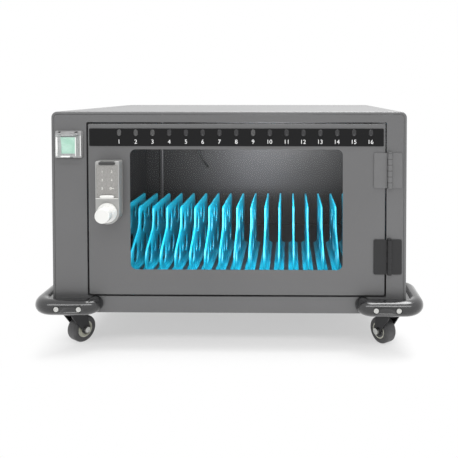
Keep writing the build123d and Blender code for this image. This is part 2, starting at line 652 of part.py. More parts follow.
def switch_cover():
    """Clear splash cover over the rocker: a thin box open at the back, with two lugs on the hinge block's pins."""
    x = grown((SWITCH_X, SWITCH_X), COVER_W / 2)
    back = -BEZEL_T - COVER_GAP
    z = (SWITCH_Z - COVER_BELOW, COVER_PIVOT_Z)
    cover = block(x, (back - COVER_DEPTH, back), z)
    inner_z = (z[0] + COVER_T, z[1] + COVER_T)
    cover -= block(grown(x, -COVER_T), (back - COVER_DEPTH + COVER_T, back + 1), inner_z)
    for start in (x[0], x[1] - COVER_T):
        cover += rod((start, COVER_PIVOT_Y, COVER_PIVOT_Z), (1, 0, 0), COVER_T, COVER_LUG_R)
    return cover - rod((x[0] - 1, COVER_PIVOT_Y, COVER_PIVOT_Z), (1, 0, 0), COVER_W + 2, COVER_PIN_R + RUNNING)


def power_inlet():
    """Appliance inlet in the back panel: a flange outside, a recess with three blades, and its body inside."""
    outside = PANEL_Y[1]
    x, z = (INLET_X, INLET_X), (INLET_Z, INLET_Z)
    flange = panel(grown(x, INLET_W / 2), grown(z, INLET_H / 2), (outside, outside + INLET_FLANGE_T), BEZEL_R)
    body_y = (outside - INLET_BODY_DEPTH, outside + INLET_FLANGE_T)
    flange += block(grown(x, INLET_BODY_W / 2), body_y, grown(z, INLET_BODY_H / 2))
    floor = outside + INLET_FLANGE_T - INLET_RECESS_DEPTH
    flange -= block(grown(x, INLET_RECESS_W / 2), (floor, outside + 10), grown(z, INLET_RECESS_H / 2))
    for step, rise in ((-1, -1), (0, 1), (1, -1)):
        blade_x = grown((INLET_X + step * BLADE_PITCH,) * 2, BLADE_W / 2)
        blade_z = grown((INLET_Z + rise * BLADE_W,) * 2, BLADE_H / 2)
        flange += block(blade_x, (floor, outside), blade_z)
    return flange


def charging_unit():
    """Power supply and socket bank in the switch compartment, standing on the pan."""
    left = -HALF_W + 2 * SHEET + 2 * SEAT + 1
    x = (left, left + CHARGER_W)
    y = (CHARGER_FRONT, CHARGER_FRONT + CHARGER_D)
    z = (BASE + SHEET, BASE + SHEET + CHARGER_H)
    unit = block(x, y, z)
    pitch = CHARGER_D / SOCKET_COUNT
    for i in range(SOCKET_COUNT):
        middle = CHARGER_FRONT + (i + 0.5) * pitch
        socket_x = grown(((x[0] + x[1]) / 2,) * 2, SOCKET_W / 2)
        unit -= block(socket_x, grown((middle, middle), SOCKET_W / 2), (z[1] - SOCKET_DEPTH, z[1] + 1))
    return unit


def inner_lead():
    """Thin lead from a grommet in the bay's back wall up to the roof, straight runs joined by tangent arcs."""
    z = BASE + LEAD_ABOVE_BASE
    wall = REAR_WALL_Y
    rise = TOP - SHEET - SEAT - z
    stretch = rise / LEAD_DRAWN_RISE
    route = (
        (LEAD_X, wall + SHEET + 6, z),
        (LEAD_X, wall - 9, z),
        (LEAD_X - 12, wall - 16, z + 19 * stretch),
        (LEAD_X - 24, wall - 18, z + 46 * stretch),
        (LEAD_X - 33, wall - 16, z + 82 * stretch),
        (LEAD_X - 38, wall - 13, z + 120 * stretch),
        (LEAD_X - 39, wall - 12, z + rise),
    )
    path = FilletPolyline(*route, radius=[10, *(bend * stretch for bend in LEAD_BENDS)])
    tube = sweep(Plane(origin=path @ 0, z_dir=path % 0) * Circle(LEAD_R), path=path)
    front = wall - SEAT
    collar = rod((LEAD_X, front - 2, z), (0, 1, 0), 2, LEAD_GROMMET_R)
    collar -= rod((LEAD_X, front - 3, z), (0, 1, 0), 4, LEAD_R + RUNNING)
    return tube, collar


def bumper_tube():
    """Centre line and tube of the front left bumper: two arms joined by a corner, with ends turned in to the case."""
    out_x, out_y = -HALF_W - BUMPER_OUT, -BUMPER_OUT
    end_x, end_y = -HALF_W + BUMPER_ARM, BUMPER_ARM
    path = FilletPolyline(
        (end_x, -BUMPER_GAP, BUMPER_Z),
        (end_x, out_y, BUMPER_Z),
        (out_x, out_y, BUMPER_Z),
        (out_x, end_y, BUMPER_Z),
        (-HALF_W - BUMPER_GAP, end_y, BUMPER_Z),
        radius=[BUMPER_END_R, BUMPER_CORNER_R, BUMPER_END_R],
    )
    return sweep(Plane(origin=path @ 0, x_dir=(0, 0, 1), z_dir=path % 0) * RegularPolygon(BUMPER_R, BUMPER_FLATS), path=path)


def front_left_bumper():
    """Moulded corner bumper: the tube, a web that closes it to the case, and two sunk screw holes in the front arm."""
    out_x, out_y = -HALF_W - BUMPER_OUT, -BUMPER_OUT
    z = (BUMPER_Z + WEB_RAISE - WEB_T / 2, BUMPER_Z + WEB_RAISE + WEB_T / 2)
    bumper = bumper_tube()
    bumper += block((-HALF_W - BUMPER_GAP, -HALF_W + BUMPER_ARM), (out_y, -BUMPER_GAP), z)
    bumper += block((out_x, -HALF_W - BUMPER_GAP), (out_y + BUMPER_CORNER_R / 2, BUMPER_ARM), z)
    for place in BUMPER_SCREWS:
        x = -HALF_W + place
        bumper -= rod((x, 1, BUMPER_Z), (0, -1, 0), BUMPER_PROUD + 2, BUMPER_SCREW_R + SCREW_HOLE_CLEAR)
        sink = (x, BUMPER_SCREW_SINK - BUMPER_PROUD, BUMPER_Z)
        bumper -= rod(sink, (0, -1, 0), BUMPER_R, BUMPER_SCREW_HEAD_R + BUMPER_SINK_CLEAR)
    return bumper


def four_corners(piece):
    """A piece at the front left corner and its mirror images at the other three."""
    right = mirror(piece, about=Plane.YZ)
    behind = Plane(origin=(0, CASE_D / 2, 0), z_dir=(0, 1, 0))
    return [piece, right, mirror(piece, about=behind), mirror(right, about=behind)]


def bumper_screw(x, end):
    """Pan-head screw through a bumper arm into the case."""
    direction = (0, 1, 0) if end == 0 else (0, -1, 0)
    seat = BUMPER_SCREW_SINK - BUMPER_PROUD
    start = seat if end == 0 else CASE_D - seat
    length = BUMPER_PROUD - BUMPER_SCREW_SINK + SCREW_LENGTH
    screw = rod((x, start, BUMPER_Z), direction, length, BUMPER_SCREW_R)
    outward = tuple(-value for value in direction)
    return screw + rod((x, start, BUMPER_Z), outward, BUMPER_SCREW_HEAD_T, BUMPER_SCREW_HEAD_R)


def panel_screw(x, z):
    """Pan-head screw of the back panel, seated on the rear lip."""
    screw = rod((x, CASE_D, z), (0, -1, 0), SCREW_LENGTH, SCREW_R)
    return screw + rod((x, CASE_D, z), (0, 1, 0), SCREW_HEAD_T, SCREW_HEAD_R)


def castor_place(name):
    """Centre of a castor's swivel, and the turn of its fork about it."""
    side, end = CASTORS[name]
    x = side * (HALF_W - CASTOR_X_INSET)
    y = CASE_D - CASTOR_Y_INSET if end else CASTOR_Y_INSET
    yaw = -side * (180 - CASTOR_YAW)
    return x, y, yaw


def castor_plate(name):
    """Fixed half of a castor: top plate, bearing race and kingpin."""
    x, y, _ = castor_place(name)
    plate_z = CASTOR_H - CASTOR_PLATE_T
    half = CASTOR_PLATE / 2
    plate = block(grown((x, x), half), grown((y, y), half), (plate_z, CASTOR_H))
    plate += rod((x, y, plate_z), (0, 0, -1), RACE_H, RACE_R)
    pin_end = CROWN_TOP - CROWN_T - CROWN_GAP
    plate += rod((x, y, pin_end), (0, 0, 1), plate_z - pin_end, KINGPIN_R)
    return plate + rod((x, y, pin_end), (0, 0, -1), KINGPIN_HEAD_T, KINGPIN_HEAD_R)


def at_castor(name, piece):
    """Turn a piece drawn with its wheel trailing towards -Y and put it under its corner."""
    x, y, yaw = castor_place(name)
    return Pos(x, y, 0) * Rot(0, 0, yaw) * piece


def castor_fork():
    """Pressed fork: a round crown on the kingpin and two legs that lean back to the axle."""
    low = CROWN_TOP - CROWN_T
    crown = rod((0, 0, low), (0, 0, 1), CROWN_T, CROWN_R)
    crown += block((-FORK_HALF, FORK_HALF), (-CROWN_R, 0), (low, low + FORK_T))
    leg = make_face(Polyline((CROWN_R * 0.7, low + FORK_T), (-CROWN_R, low + FORK_T), (-TRAIL - EYE_R, WHEEL_R),
                             (-TRAIL + EYE_R, WHEEL_R), (CROWN_R * 0.7, low - FORK_T), close=True))
    leg += Pos(-TRAIL, WHEEL_R) * Circle(EYE_R)
    leg -= Pos(-TRAIL, WHEEL_R) * Circle(AXLE_R + RUNNING)
    for start in (-FORK_HALF, FORK_HALF - FORK_T):
        crown += extrude(Plane(origin=(start, 0, 0), x_dir=(0, 1, 0), z_dir=(1, 0, 0)) * leg, amount=FORK_T)
    return crown - rod((0, 0, low - 1), (0, 0, 1), CROWN_T + 2, KINGPIN_R + RUNNING)


def castor_axle():
    """Axle bolt through the fork, with its head on one side and its nut on the other."""
    length = 2 * (FORK_HALF + SEAT / 2)
    start = (-length / 2, -TRAIL, WHEEL_R)
    axle = rod(start, (1, 0, 0), length, AXLE_R)
    nut = Plane(origin=start, z_dir=(-1, 0, 0)) * RegularPolygon(AXLE_HEAD_R, 6)
    return axle + extrude(nut, amount=AXLE_HEAD_T) + rod((length / 2, -TRAIL, WHEEL_R), (1, 0, 0), AXLE_HEAD_T, AXLE_HEAD_R)


def castor_wheel():
    """Wheel: a tread with rounded shoulders round a dished core that runs on the axle."""
    half = WHEEL_W / 2
    plane = Plane(origin=(0, -TRAIL, WHEEL_R), x_dir=(0, 1, 0), z_dir=(0, 0, 1))
    axis = Axis((0, -TRAIL, WHEEL_R), (1, 0, 0))
    flat = half - TREAD_EDGE_R
    edge = WHEEL_R - TREAD_EDGE_R
    bevel = TREAD_EDGE_R * (1 - sin(pi / 4))
    tread = [(CORE_R, half), (edge, half), (WHEEL_R - bevel, half - bevel), (WHEEL_R, flat)]
    bore, rim = AXLE_R + RUNNING, CORE_R - RUNNING
    core = [(bore, half + HUB_PROUD), (HUB_R, half + HUB_PROUD), (HUB_R, half - CORE_DISH),
            (rim - CORE_RIM, half - CORE_DISH), (rim - CORE_RIM, half), (rim, half)]
    rings = []
    for side in (tread, core):
        outline = Polyline(*side, *[(radius, -across) for radius, across in reversed(side)], close=True)
        rings.append(revolve(plane * make_face(outline), axis=axis))
    return rings


os.makedirs("parts", exist_ok=True)

save("outer_shell", outer_shell())
save("base_pan", base_pan())
save("front_frame", front_frame())
save("back_panel", back_panel())
save("side_partition", side_partition())
save("rear_partition", rear_partition())
save("divider_tray", divider_tray())
for number in range(BAY_COUNT + 1):
    save(f"divider_{number + 1:02d}", divider(RACK_X + (number - BAY_COUNT / 2) * BAY_PITCH))

save("door_panel", door_panel())
save("window_pane", window_pane())
save("window_retainer", window_retainer())
save("indicator_strip", indicator_strip())
save("indicator_lights", *[light(x, 0, (-STRIP_T - LIGHT_PROUD, 0)) for x in light_places()])
save("led_board", led_board())
save("lock_housing", lock_housing())
save("lock_keypad", lock_keypad())
save("lock_knob", lock_knob())
save("lock_cam", lock_cam())
save("strike_plate", strike_plate())
save("door_hinge_leaves", *[hinge_leaf(BASE + low, -1) for low in HINGE_Z])
save("frame_hinge_leaves", *[hinge_leaf(BASE + low, 1) for low in HINGE_Z])
save("hinge_pins", *[hinge_pin(BASE + low) for low in HINGE_Z])

save("switch_housing", switch_housing())
save("switch_rocker", switch_rocker())
save("switch_cover", switch_cover())
save("power_inlet", power_inlet())
save("charging_unit", charging_unit())
save("inner_lead", *inner_lead())
save("panel_screws", *[panel_screw(x, z) for x, z in rear_screw_places()])

save("corner_bumpers", *four_corners(front_left_bumper()))
save("bumper_screws", *[bumper_screw(x, end) for x, end in bumper_screw_places()])

save("castor_plates", *[castor_plate(name) for name in CASTORS])
for name in CASTORS:
    save(f"castor_fork_{name}", at_castor(name, castor_fork()))
    save(f"castor_axle_{name}", at_castor(name, castor_axle()))
    save(f"castor_wheel_{name}", *[at_castor(name, ring) for ring in castor_wheel()])
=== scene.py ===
import json
from math import pi, radians, tau
import bmesh
import bpy
import numpy as np
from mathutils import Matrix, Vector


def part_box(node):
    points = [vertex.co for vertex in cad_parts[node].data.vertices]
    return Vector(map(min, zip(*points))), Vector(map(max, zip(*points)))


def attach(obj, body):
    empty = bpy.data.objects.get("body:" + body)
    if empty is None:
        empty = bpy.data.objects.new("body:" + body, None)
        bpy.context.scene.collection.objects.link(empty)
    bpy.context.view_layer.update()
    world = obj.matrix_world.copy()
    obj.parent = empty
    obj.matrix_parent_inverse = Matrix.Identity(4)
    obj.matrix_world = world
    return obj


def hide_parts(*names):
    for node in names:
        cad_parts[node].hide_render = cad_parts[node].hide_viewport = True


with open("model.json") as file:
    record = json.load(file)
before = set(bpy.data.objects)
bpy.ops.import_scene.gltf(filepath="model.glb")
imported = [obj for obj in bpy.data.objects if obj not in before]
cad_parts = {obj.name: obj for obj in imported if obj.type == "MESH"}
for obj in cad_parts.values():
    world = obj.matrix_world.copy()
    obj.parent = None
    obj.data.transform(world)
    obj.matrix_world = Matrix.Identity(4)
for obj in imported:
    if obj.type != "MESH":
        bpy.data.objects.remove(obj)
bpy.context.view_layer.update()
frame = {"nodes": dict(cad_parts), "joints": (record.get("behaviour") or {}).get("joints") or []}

# Sheet-steel case: top and sides in one bent sheet, a front frame round the door, a slotted back panel and the
# inner walls. Mild steel with a satin grey powder coat, whose fine orange peel shows in the highlights.


class Wire:
    """A shader socket that adds a Math node for each operator used on it."""

    def __init__(self, nodes, socket):
        self.nodes, self.socket = nodes, socket

    def __add__(self, other):
        return self.nodes.maths("ADD", self, other)

    def __radd__(self, other):
        return self.nodes.maths("ADD", other, self)

    def __sub__(self, other):
        return self.nodes.maths("SUBTRACT", self, other)

    def __rsub__(self, other):
        return self.nodes.maths("SUBTRACT", other, self)

    def __mul__(self, other):
        return self.nodes.maths("MULTIPLY", self, other)

    def __rmul__(self, other):
        return self.nodes.maths("MULTIPLY", other, self)

    def __gt__(self, other):
        return self.nodes.maths("GREATER_THAN", self, other)

    def __abs__(self):
        return self.nodes.maths("ABSOLUTE", self, 0.0)


class Nodes:
    """A node tree, to which one method adds every node by its type."""

    def __init__(self, tree):
        self.tree = tree

    def join(self, socket, value):
        """Link a wire to a socket, or set the socket to a value."""
        if isinstance(value, Wire):
            self.tree.links.new(value.socket, socket)
        else:
            socket.default_value = value

    def node(self, kind, settings, inputs, output=0):
        """Add a node of a type, with its settings first and then the values or links of its sockets."""
        added = self.tree.nodes.new(kind)
        for name, value in settings.items():
            if name == "stops":
                while len(added.color_ramp.elements) < len(value):
                    added.color_ramp.elements.new(0.5)
                for element, (place, colour) in zip(added.color_ramp.elements, value):
                    element.position, element.color = place, (*colour, 1.0)
            else:
                setattr(added, name, value)
        for socket, value in inputs.items():
            self.join(added.inputs[socket], value)
        return Wire(self, added.outputs[output])

    def maths(self, operation, first, second):
        """A Math node on two sockets or numbers."""
        return self.node("ShaderNodeMath", {"operation": operation}, {0: first, 1: second})

    def eased(self, value, start, end, first=0.0, last=1.0):
        """A number that goes from first to last along a smoothstep curve, as a value goes from start to end."""
        spans = {"Value": value, "From Min": start, "From Max": end, "To Min": first, "To Max": last}
        return self.node("ShaderNodeMapRange", {"interpolation_type": "SMOOTHSTEP"}, spans, "Result")

class Finish(Nodes):
    """One surface finish: a Principled material whose varying sockets are fed by procedural nodes."""

    def __init__(self, name, colour, roughness, metallic=0.0, **fixed):
        self.material = bpy.data.materials.new(name)
        self.material.use_nodes = True
        super().__init__(self.material.node_tree)
        self.shader = self.tree.nodes["Principled BSDF"]
        self.feed("Base Color", (*colour, 1.0))
        self.feed("Roughness", roughness)
        self.feed("Metallic", metallic)
        for socket, value in fixed.items():
            self.feed(socket.replace("_", " "), value)

    def feed(self, socket, value):
        """Set a socket of the shader to a value, or link it."""
        self.join(self.shader.inputs[socket], value)

    def here(self, axis=None):
        """Object coordinates, or one of their axes."""
        place = self.node("ShaderNodeTexCoord", {}, {}, "Object")
        if axis is None:
            return place
        return self.node("ShaderNodeSeparateXYZ", {}, {"Vector": place}, axis)

    def noise(self, scale, detail=3.0):
        """Noise between 0 and 1 with features of about 1/scale metres."""
        spot = {"Vector": self.here(), "Scale": scale, "Detail": detail}
        return self.node("ShaderNodeTexNoise", {}, spot, "Fac")

    def ramp(self, factor, *stops):
        """Colours along a factor."""
        return self.node("ShaderNodeValToRGB", {"stops": stops}, {"Fac": factor}, "Color")

    def mottle(self, factor, dark, light, start=0.3, end=0.7):
        """Vary the base colour from a dark to a light one, as a factor goes from start to end."""
        self.feed("Base Color", self.ramp(factor, (start, dark), (end, light)))

    def rub(self, factor, low, high):
        """Vary the roughness from low to high with a factor between 0 and 1."""
        self.feed("Roughness", factor * (high - low) + low)

    def bump(self, height, distance):
        """Feed the shader's normal with a height that is worth a distance in metres."""
        self.feed("Normal", self.node("ShaderNodeBump", {}, {"Height": height, "Distance": distance}, "Normal"))


def shade(colour, share):
    """A colour made lighter or darker by a share."""
    return tuple(channel * share for channel in colour)


def cover(nodes, finish):
    """Put a finish on carried-over nodes."""
    for name in nodes:
        node = frame["nodes"][name]
        node.data.materials.clear()
        node.data.materials.append(finish.material)


def corners(node):
    """A node's lowest and highest corners at rest, as arrays."""
    low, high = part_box(node)
    return np.array(low), np.array(high)


CLOUDS, FLECKS, SHEEN, PEEL = 3.0, 1400.0, 40.0, 850.0
CLOUD_SHARE, FLECK_SHARE = 0.6, 0.4
PEEL_DEPTH = 0.00006


def powder_coat(name, colour, roughness=0.4, metallic=0.25):
    """Satin powder coat: broad cloudy tone, fine speckle, and orange peel about a millimetre across."""
    coat = Finish(name, colour, roughness, metallic, Coat_Weight=0.25, Coat_Roughness=0.3)
    tone = coat.noise(CLOUDS, detail=2.0) * CLOUD_SHARE + coat.noise(FLECKS, detail=2.0) * FLECK_SHARE
    coat.mottle(tone, shade(colour, 0.9), shade(colour, 1.1))
    coat.rub(coat.noise(SHEEN), roughness - 0.05, roughness + 0.06)
    coat.bump(coat.noise(PEEL, detail=2.0), PEEL_DEPTH)
    return coat


CASE_GREY = (0.131, 0.131, 0.133)
case_low, case_high = corners("outer_shell")
case_coat = powder_coat("case_powder_coat", CASE_GREY)
cover(["outer_shell", "base_pan", "front_frame", "back_panel", "strike_plate"], case_coat)

# Inner walls: a dark coat with painted shade. It goes near black towards the bottom and darkens towards the left
# and right ends of the walls.
INNER_GREY = (0.052, 0.052, 0.057)
DEEP_SHADE, SHADE_FOOT, SHADE_HEAD = 0.06, 0.2, 0.25
WALL_MIDDLE, WALL_REACH, PAINTED_SHADE_AT_ENDS = 0.02, 0.17, 0.25
INNER_PEEL_DEPTH = 0.000013
inner_coat = Finish("inner_powder_coat", INNER_GREY, 0.5, 0.1)
rise = inner_coat.eased(inner_coat.here(2), SHADE_FOOT, SHADE_HEAD)
painted_shade_ends = inner_coat.eased(abs(inner_coat.here(0) - WALL_MIDDLE), 0.0, WALL_REACH, 1.0, PAINTED_SHADE_AT_ENDS)
inner_coat.mottle(rise * painted_shade_ends, shade(INNER_GREY, DEEP_SHADE), INNER_GREY, 0.0, 1.0)
inner_coat.rub(inner_coat.noise(SHEEN), 0.45, 0.56)
inner_coat.bump(inner_coat.noise(PEEL, detail=2.0), INNER_PEEL_DEPTH)
cover(["side_partition", "rear_partition"], inner_coat)

# The tray's near black is painted shade, the dark floor of the bay under the dividers. The window retainer shares
# this finish.
TRAY_SHADE_BLACK = (0.018, 0.018, 0.02)
cover(["divider_tray", "window_retainer"], powder_coat("tray_black", TRAY_SHADE_BLACK, 0.5, 0.0))

# Upright cover strip on the bay's back wall: a folded edge of painted steel that closes the joint at the wall's
# left end. A thin black sheet beside it is painted shadow for the narrow gap there.
MM = 0.001
STRIP_X, STRIP_W, STRIP_T = -0.2295, 7.5 * MM, 1.0 * MM
GAP_SHADOW_W, GAP_SHADOW_T = 4.0 * MM, 0.3 * MM
STRIP_Z = (0.172, 0.4485)
STRIP_GREY = (0.06, 0.06, 0.064)
MERGE_WITHIN = 1e-6
wall_front = corners("rear_partition")[0][1]


def grey(value):
    """A neutral colour."""
    return (value, value, value)


def piece(name, mesh, finish, smooth=35.0):
    """An object from a mesh, with doubles merged, faces outwards and edges over an angle kept sharp."""
    work = bmesh.new()
    work.from_mesh(mesh)
    bmesh.ops.remove_doubles(work, verts=work.verts, dist=MERGE_WITHIN)
    bmesh.ops.recalc_face_normals(work, faces=work.faces)
    work.to_mesh(mesh)
    work.free()
    mesh.polygons.foreach_set("use_smooth", np.ones(len(mesh.polygons), bool))
    mesh.set_sharp_from_angle(angle=radians(smooth))
    mesh.materials.append(finish.material)
    made = bpy.data.objects.new(name, mesh)
    bpy.context.scene.collection.objects.link(made)
    return made


def skin(name, grid, finish, smooth=35.0):
    """A mesh from a grid of points, shape (rings, points, 3): quads between closed rings, and a cap on each end."""
    rings, points, _ = grid.shape
    ring, point = np.meshgrid(np.arange(rings - 1), np.arange(points), indexing="ij")
    after = (point + 1) % points
    below, above = ring * points, (ring + 1) * points
    quads = np.stack([below + point, below + after, above + after, above + point], -1)
    faces = quads.reshape(-1, 4).tolist()
    faces += [list(range(points)), list(range((rings - 1) * points, rings * points))]
    mesh = bpy.data.meshes.new(name)
    mesh.from_pydata(grid.reshape(-1, 3).tolist(), [], faces)
    return piece(name, mesh, finish, smooth)


def wall_strip(name, left, width, thick, finish):
    """A rounded strip against the back wall: a half ellipse in plan carried up between two heights."""
    turn = np.linspace(pi, tau, 12)
    plan = np.stack([left + width / 2 * (1 + np.cos(turn)), wall_front + thick * np.sin(turn)], 1)
    grid = np.stack([np.c_[plan, np.full(len(plan), z)] for z in STRIP_Z])
    made = skin(name, grid, finish)
    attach(made, "cabinet")


gap_black = Finish("gap_black", grey(0.004), 0.7)
gap_black.rub(gap_black.noise(300.0), 0.6, 0.8)
# A black sheet painted as the shadow in the narrow gap beside the strip.
wall_strip("bay_corner_gap", STRIP_X - GAP_SHADOW_W, GAP_SHADOW_W, GAP_SHADOW_T, gap_black)
wall_strip("bay_corner_strip", STRIP_X, STRIP_W, STRIP_T, powder_coat("strip_coat", STRIP_GREY, 0.45))

# Door: a folded steel pan in the same coat, with a clear polycarbonate pane behind its window. The pane is a cast
# sheet held by a ring at the back.
PANE_TINT = (0.02, 0.024, 0.024)
cover(["door_panel"], case_coat)
pane = Finish("clear_pane", PANE_TINT, 0.03, 0.0, Alpha=0.06, IOR=1.49)
pane.rub(pane.noise(15.0), 0.02, 0.05)
cover(["window_pane"], pane)

# Indicator strip: a black printed film over the lights, with a plain number under each. The lights are smoked
# diffusers with a rounded rim, one for each bay; bays 1, 2, 3 and 9 have a paler copy of the smoke, painted light.
BAYS = 16
PAINTED_LIGHT_BAYS = (1, 2, 3, 9)
LIGHT_W, NUMBER_H, NUMBER_BELOW = 8 * MM, 8 * MM, 16.5 * MM
CAPITAL_SHARE = 0.72
PRINT_T, PRINT_LIFT = 0.04 * MM, 0.03 * MM
RIM_POINTS = 28
FILM_BLACK = (0.007, 0.007, 0.0075)


def meshed(curve):
    """The mesh that Blender makes of a curve or text, through an object that is removed again."""
    maker = bpy.data.objects.new(curve.name + "_maker", curve)
    bpy.context.scene.collection.objects.link(maker)
    bpy.context.view_layer.update()
    mesh = bpy.data.meshes.new_from_object(maker.evaluated_get(bpy.context.evaluated_depsgraph_get()))
    bpy.data.objects.remove(maker)
    points = np.empty(len(mesh.vertices) * 3)
    mesh.vertices.foreach_get("co", points)
    return mesh, points.reshape(-1, 3)


def lettering(name, text, height, centre, finish):
    """A printed figure that faces the front: flat text stood upright, with its middle at a point."""
    curve = bpy.data.curves.new(name, "FONT")
    curve.body, curve.size, curve.align_x, curve.align_y = text, height / CAPITAL_SHARE, "CENTER", "CENTER"
    curve.extrude, curve.resolution_u = PRINT_T, 4
    mesh, flat = meshed(curve)
    middle = (flat.max(0) + flat.min(0)) / 2
    standing = np.stack([flat[:, 0] - middle[0], flat[:, 2], flat[:, 1] - middle[1]], 1) + np.array(centre)
    mesh.vertices.foreach_set("co", standing.ravel())
    mesh.materials.clear()
    made = piece(name, mesh, finish, smooth=30.0)
    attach(made, "door")
    return made


def superoval(count, half_width, half_height, power=2.0):
    """Points of a superellipse: width and height each follow a signed power of the cosine and sine."""
    turn = np.arange(count) / count * tau
    across = half_width * np.sign(np.cos(turn)) * np.abs(np.cos(turn)) ** (2 / power)
    up = half_height * np.sign(np.sin(turn)) * np.abs(np.sin(turn)) ** (2 / power)
    return across, up


def pillow(name, centre, half_width, half_height, steps, finish, power=2.6):
    """A raised oval facing the front: superellipse rings, each with an inset and a rise in millimetres."""
    rings = []
    for inset, lift in steps:
        across, up = superoval(RIM_POINTS, half_width - inset * MM, half_height - inset * MM, power)
        rings.append(np.stack([centre[0] + across, np.full(RIM_POINTS, centre[1] - lift * MM), centre[2] + up], 1))
    return skin(name, np.array(rings), finish, smooth=60.0)


strip_film = Finish("strip_film", FILM_BLACK, 0.32, 0.0, Specular_IOR_Level=0.18)
strip_film.rub(strip_film.noise(120.0), 0.27, 0.36)
strip_film.bump(strip_film.noise(1500.0), 0.00002)
cover(["indicator_strip"], strip_film)
print_white = Finish("print_white", grey(0.82), 0.5)
print_white.mottle(print_white.noise(2500.0), grey(0.74), grey(0.86))
smoke = Finish("light_smoke", (0.015, 0.015, 0.016), 0.3, 0.0, Coat_Weight=0.15)
smoke.mottle(smoke.noise(700.0), (0.01, 0.01, 0.011), (0.03, 0.03, 0.032), 0.35, 0.65)
# A paler copy of the same smoke for bays 1, 2, 3 and 9: painted light.
smoke_painted_light = Finish("light_smoke_bright", grey(0.05), 0.3, 0.0, Coat_Weight=0.2)
smoke_painted_light.mottle(smoke_painted_light.noise(700.0), grey(0.035), grey(0.08), 0.35, 0.65)

lights_low, lights_high = corners("indicator_lights")
light_half = (LIGHT_W / 2, (lights_high[2] - lights_low[2]) / 2)
light_pitch = (lights_high[0] - lights_low[0] - LIGHT_W) / (BAYS - 1)
light_z = (lights_low[2] + lights_high[2]) / 2
light_rise = (lights_high[1] - lights_low[1]) / MM
LIGHT_STEPS = ((0, 0), (0, light_rise - 0.4), (0.4, light_rise), (1.3, light_rise), (1.6, light_rise - 0.3),
               (3.4, light_rise - 0.3))
film_face = corners("indicator_strip")[0][1]
for bay in range(1, BAYS + 1):
    x = lights_low[0] + LIGHT_W / 2 + (bay - 1) * light_pitch
    lamp_finish = smoke_painted_light if bay in PAINTED_LIGHT_BAYS else smoke
    lamp = pillow(f"bay_light_{bay:02d}", (x, lights_high[1], light_z), *light_half, LIGHT_STEPS, lamp_finish)
    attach(lamp, "door")
    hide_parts("indicator_lights")
    number_place = (x, film_face - PRINT_LIFT, light_z - NUMBER_BELOW)
    number = lettering(f"bay_number_{bay:02d}", str(bay), NUMBER_H, number_place, print_white)

# Circuit board of the lights: a glass-fibre board with a green solder resist. It sits behind the door's top rail
# and shows when the door is open.
resist = Finish("solder_resist", (0.02, 0.15, 0.06), 0.35)
resist.mottle(resist.noise(300.0), (0.015, 0.12, 0.05), (0.03, 0.2, 0.08), 0.4, 0.6)
cover(["led_board"], resist)

# Bay dividers: injection-moulded blue plastic, a thin upright with oval windows and rounded rims, standing on a
# flared foot. Each clips to the raised tray.
BLUE = (0.006, 0.31, 0.455)
PLATE_T, RIM_R, FOOT_T = 3.5 * MM, 1.1 * MM, 2 * MM
LOW, MID, HIGH, SHOULDER = 38.6 * MM, 76.6 * MM, 117.5 * MM, 60 * MM
FRONT_BEND_R, TOP_BEND_R = 28 * MM, 12 * MM
FOOT_END_SHARE = 0.94
OVAL_POINTS = 26
# Each oval: distance behind the front, height above the tray, width and height, in millimetres.
OVALS = (
    (33, 30, 31, 40), (70.5, 33.5, 16, 22), (108, 32, 30, 38), (184, 32, 30, 38),
    (88.5, 82, 30, 44), (127, 93, 18, 25), (163, 83, 30, 45),
)

blue = Finish("divider_blue", BLUE, 0.34, 0.0, Coat_Weight=0.15)
blue.mottle(blue.noise(18.0, detail=2.0), shade(BLUE, 0.92), shade(BLUE, 1.1))
blue.rub(blue.noise(160.0), 0.3, 0.42)
blue.bump(blue.noise(900.0), 0.00001)


def rounded(corner_points, radii, steps=7):
    """A closed outline with bent corners, each on a quadratic curve between the two tangent points of its arc."""
    corner_points = np.array(corner_points, float)
    found = []
    for i, radius in enumerate(radii):
        corner = corner_points[i]
        back, ahead = corner_points[i - 1] - corner, corner_points[(i + 1) % len(corner_points)] - corner
        back, ahead = back / np.linalg.norm(back), ahead / np.linalg.norm(ahead)
        half = np.arccos(np.clip(back @ ahead, -1, 1)) / 2
        reach = radius / np.tan(half) if radius else 0
        share = np.linspace(0, 1, steps if radius else 1)[:, None]
        start, end = corner + back * reach, corner + ahead * reach
        found.append((1 - share) ** 2 * start + 2 * share * (1 - share) * corner + share ** 2 * end)
    return np.concatenate(found)


def divider_plate(length):
    """The upright in its own plane (along, up), filled between its outline and its ovals, with round rims."""
    loops = [rounded(
        [(0, 0), (0, LOW), (SHOULDER, MID), (SHOULDER, HIGH), (length, HIGH), (length, 0)],
        [0, FRONT_BEND_R, FRONT_BEND_R, TOP_BEND_R, TOP_BEND_R, 0],
    )]
    for along, up, width, height in OVALS:
        across, climb = superoval(OVAL_POINTS, width / 2 * MM, height / 2 * MM)
        loops.append(np.stack([along * MM + across, up * MM + climb], 1)[::-1])
    curve = bpy.data.curves.new("divider_plate", "CURVE")
    curve.dimensions, curve.fill_mode = "2D", "BOTH"
    curve.extrude, curve.bevel_depth, curve.bevel_resolution = PLATE_T / 2 - RIM_R, RIM_R, 2
    curve.offset = -RIM_R
    for loop in loops:
        spline = curve.splines.new("POLY")
        spline.points.add(len(loop) - 1)
        spline.points.foreach_set("co", np.c_[loop, np.zeros(len(loop)), np.ones(len(loop))].ravel())
        spline.use_cyclic_u = True
    mesh, points = meshed(curve)
    return points, [list(face.vertices) for face in mesh.polygons]


def foot_profile(width):
    """The flare's section: a flat edge, then a concave quarter round up to the plate, mirrored."""
    turn = np.linspace(0, pi / 2, 8)
    flare = (width - PLATE_T) / 2
    half = np.stack([width / 2 - flare * np.sin(turn), FOOT_T + flare * (1 - np.cos(turn))], 1)
    half = np.concatenate([[(width / 2, 0)], half])
    return np.concatenate([half, half[::-1] * (-1, 1)])


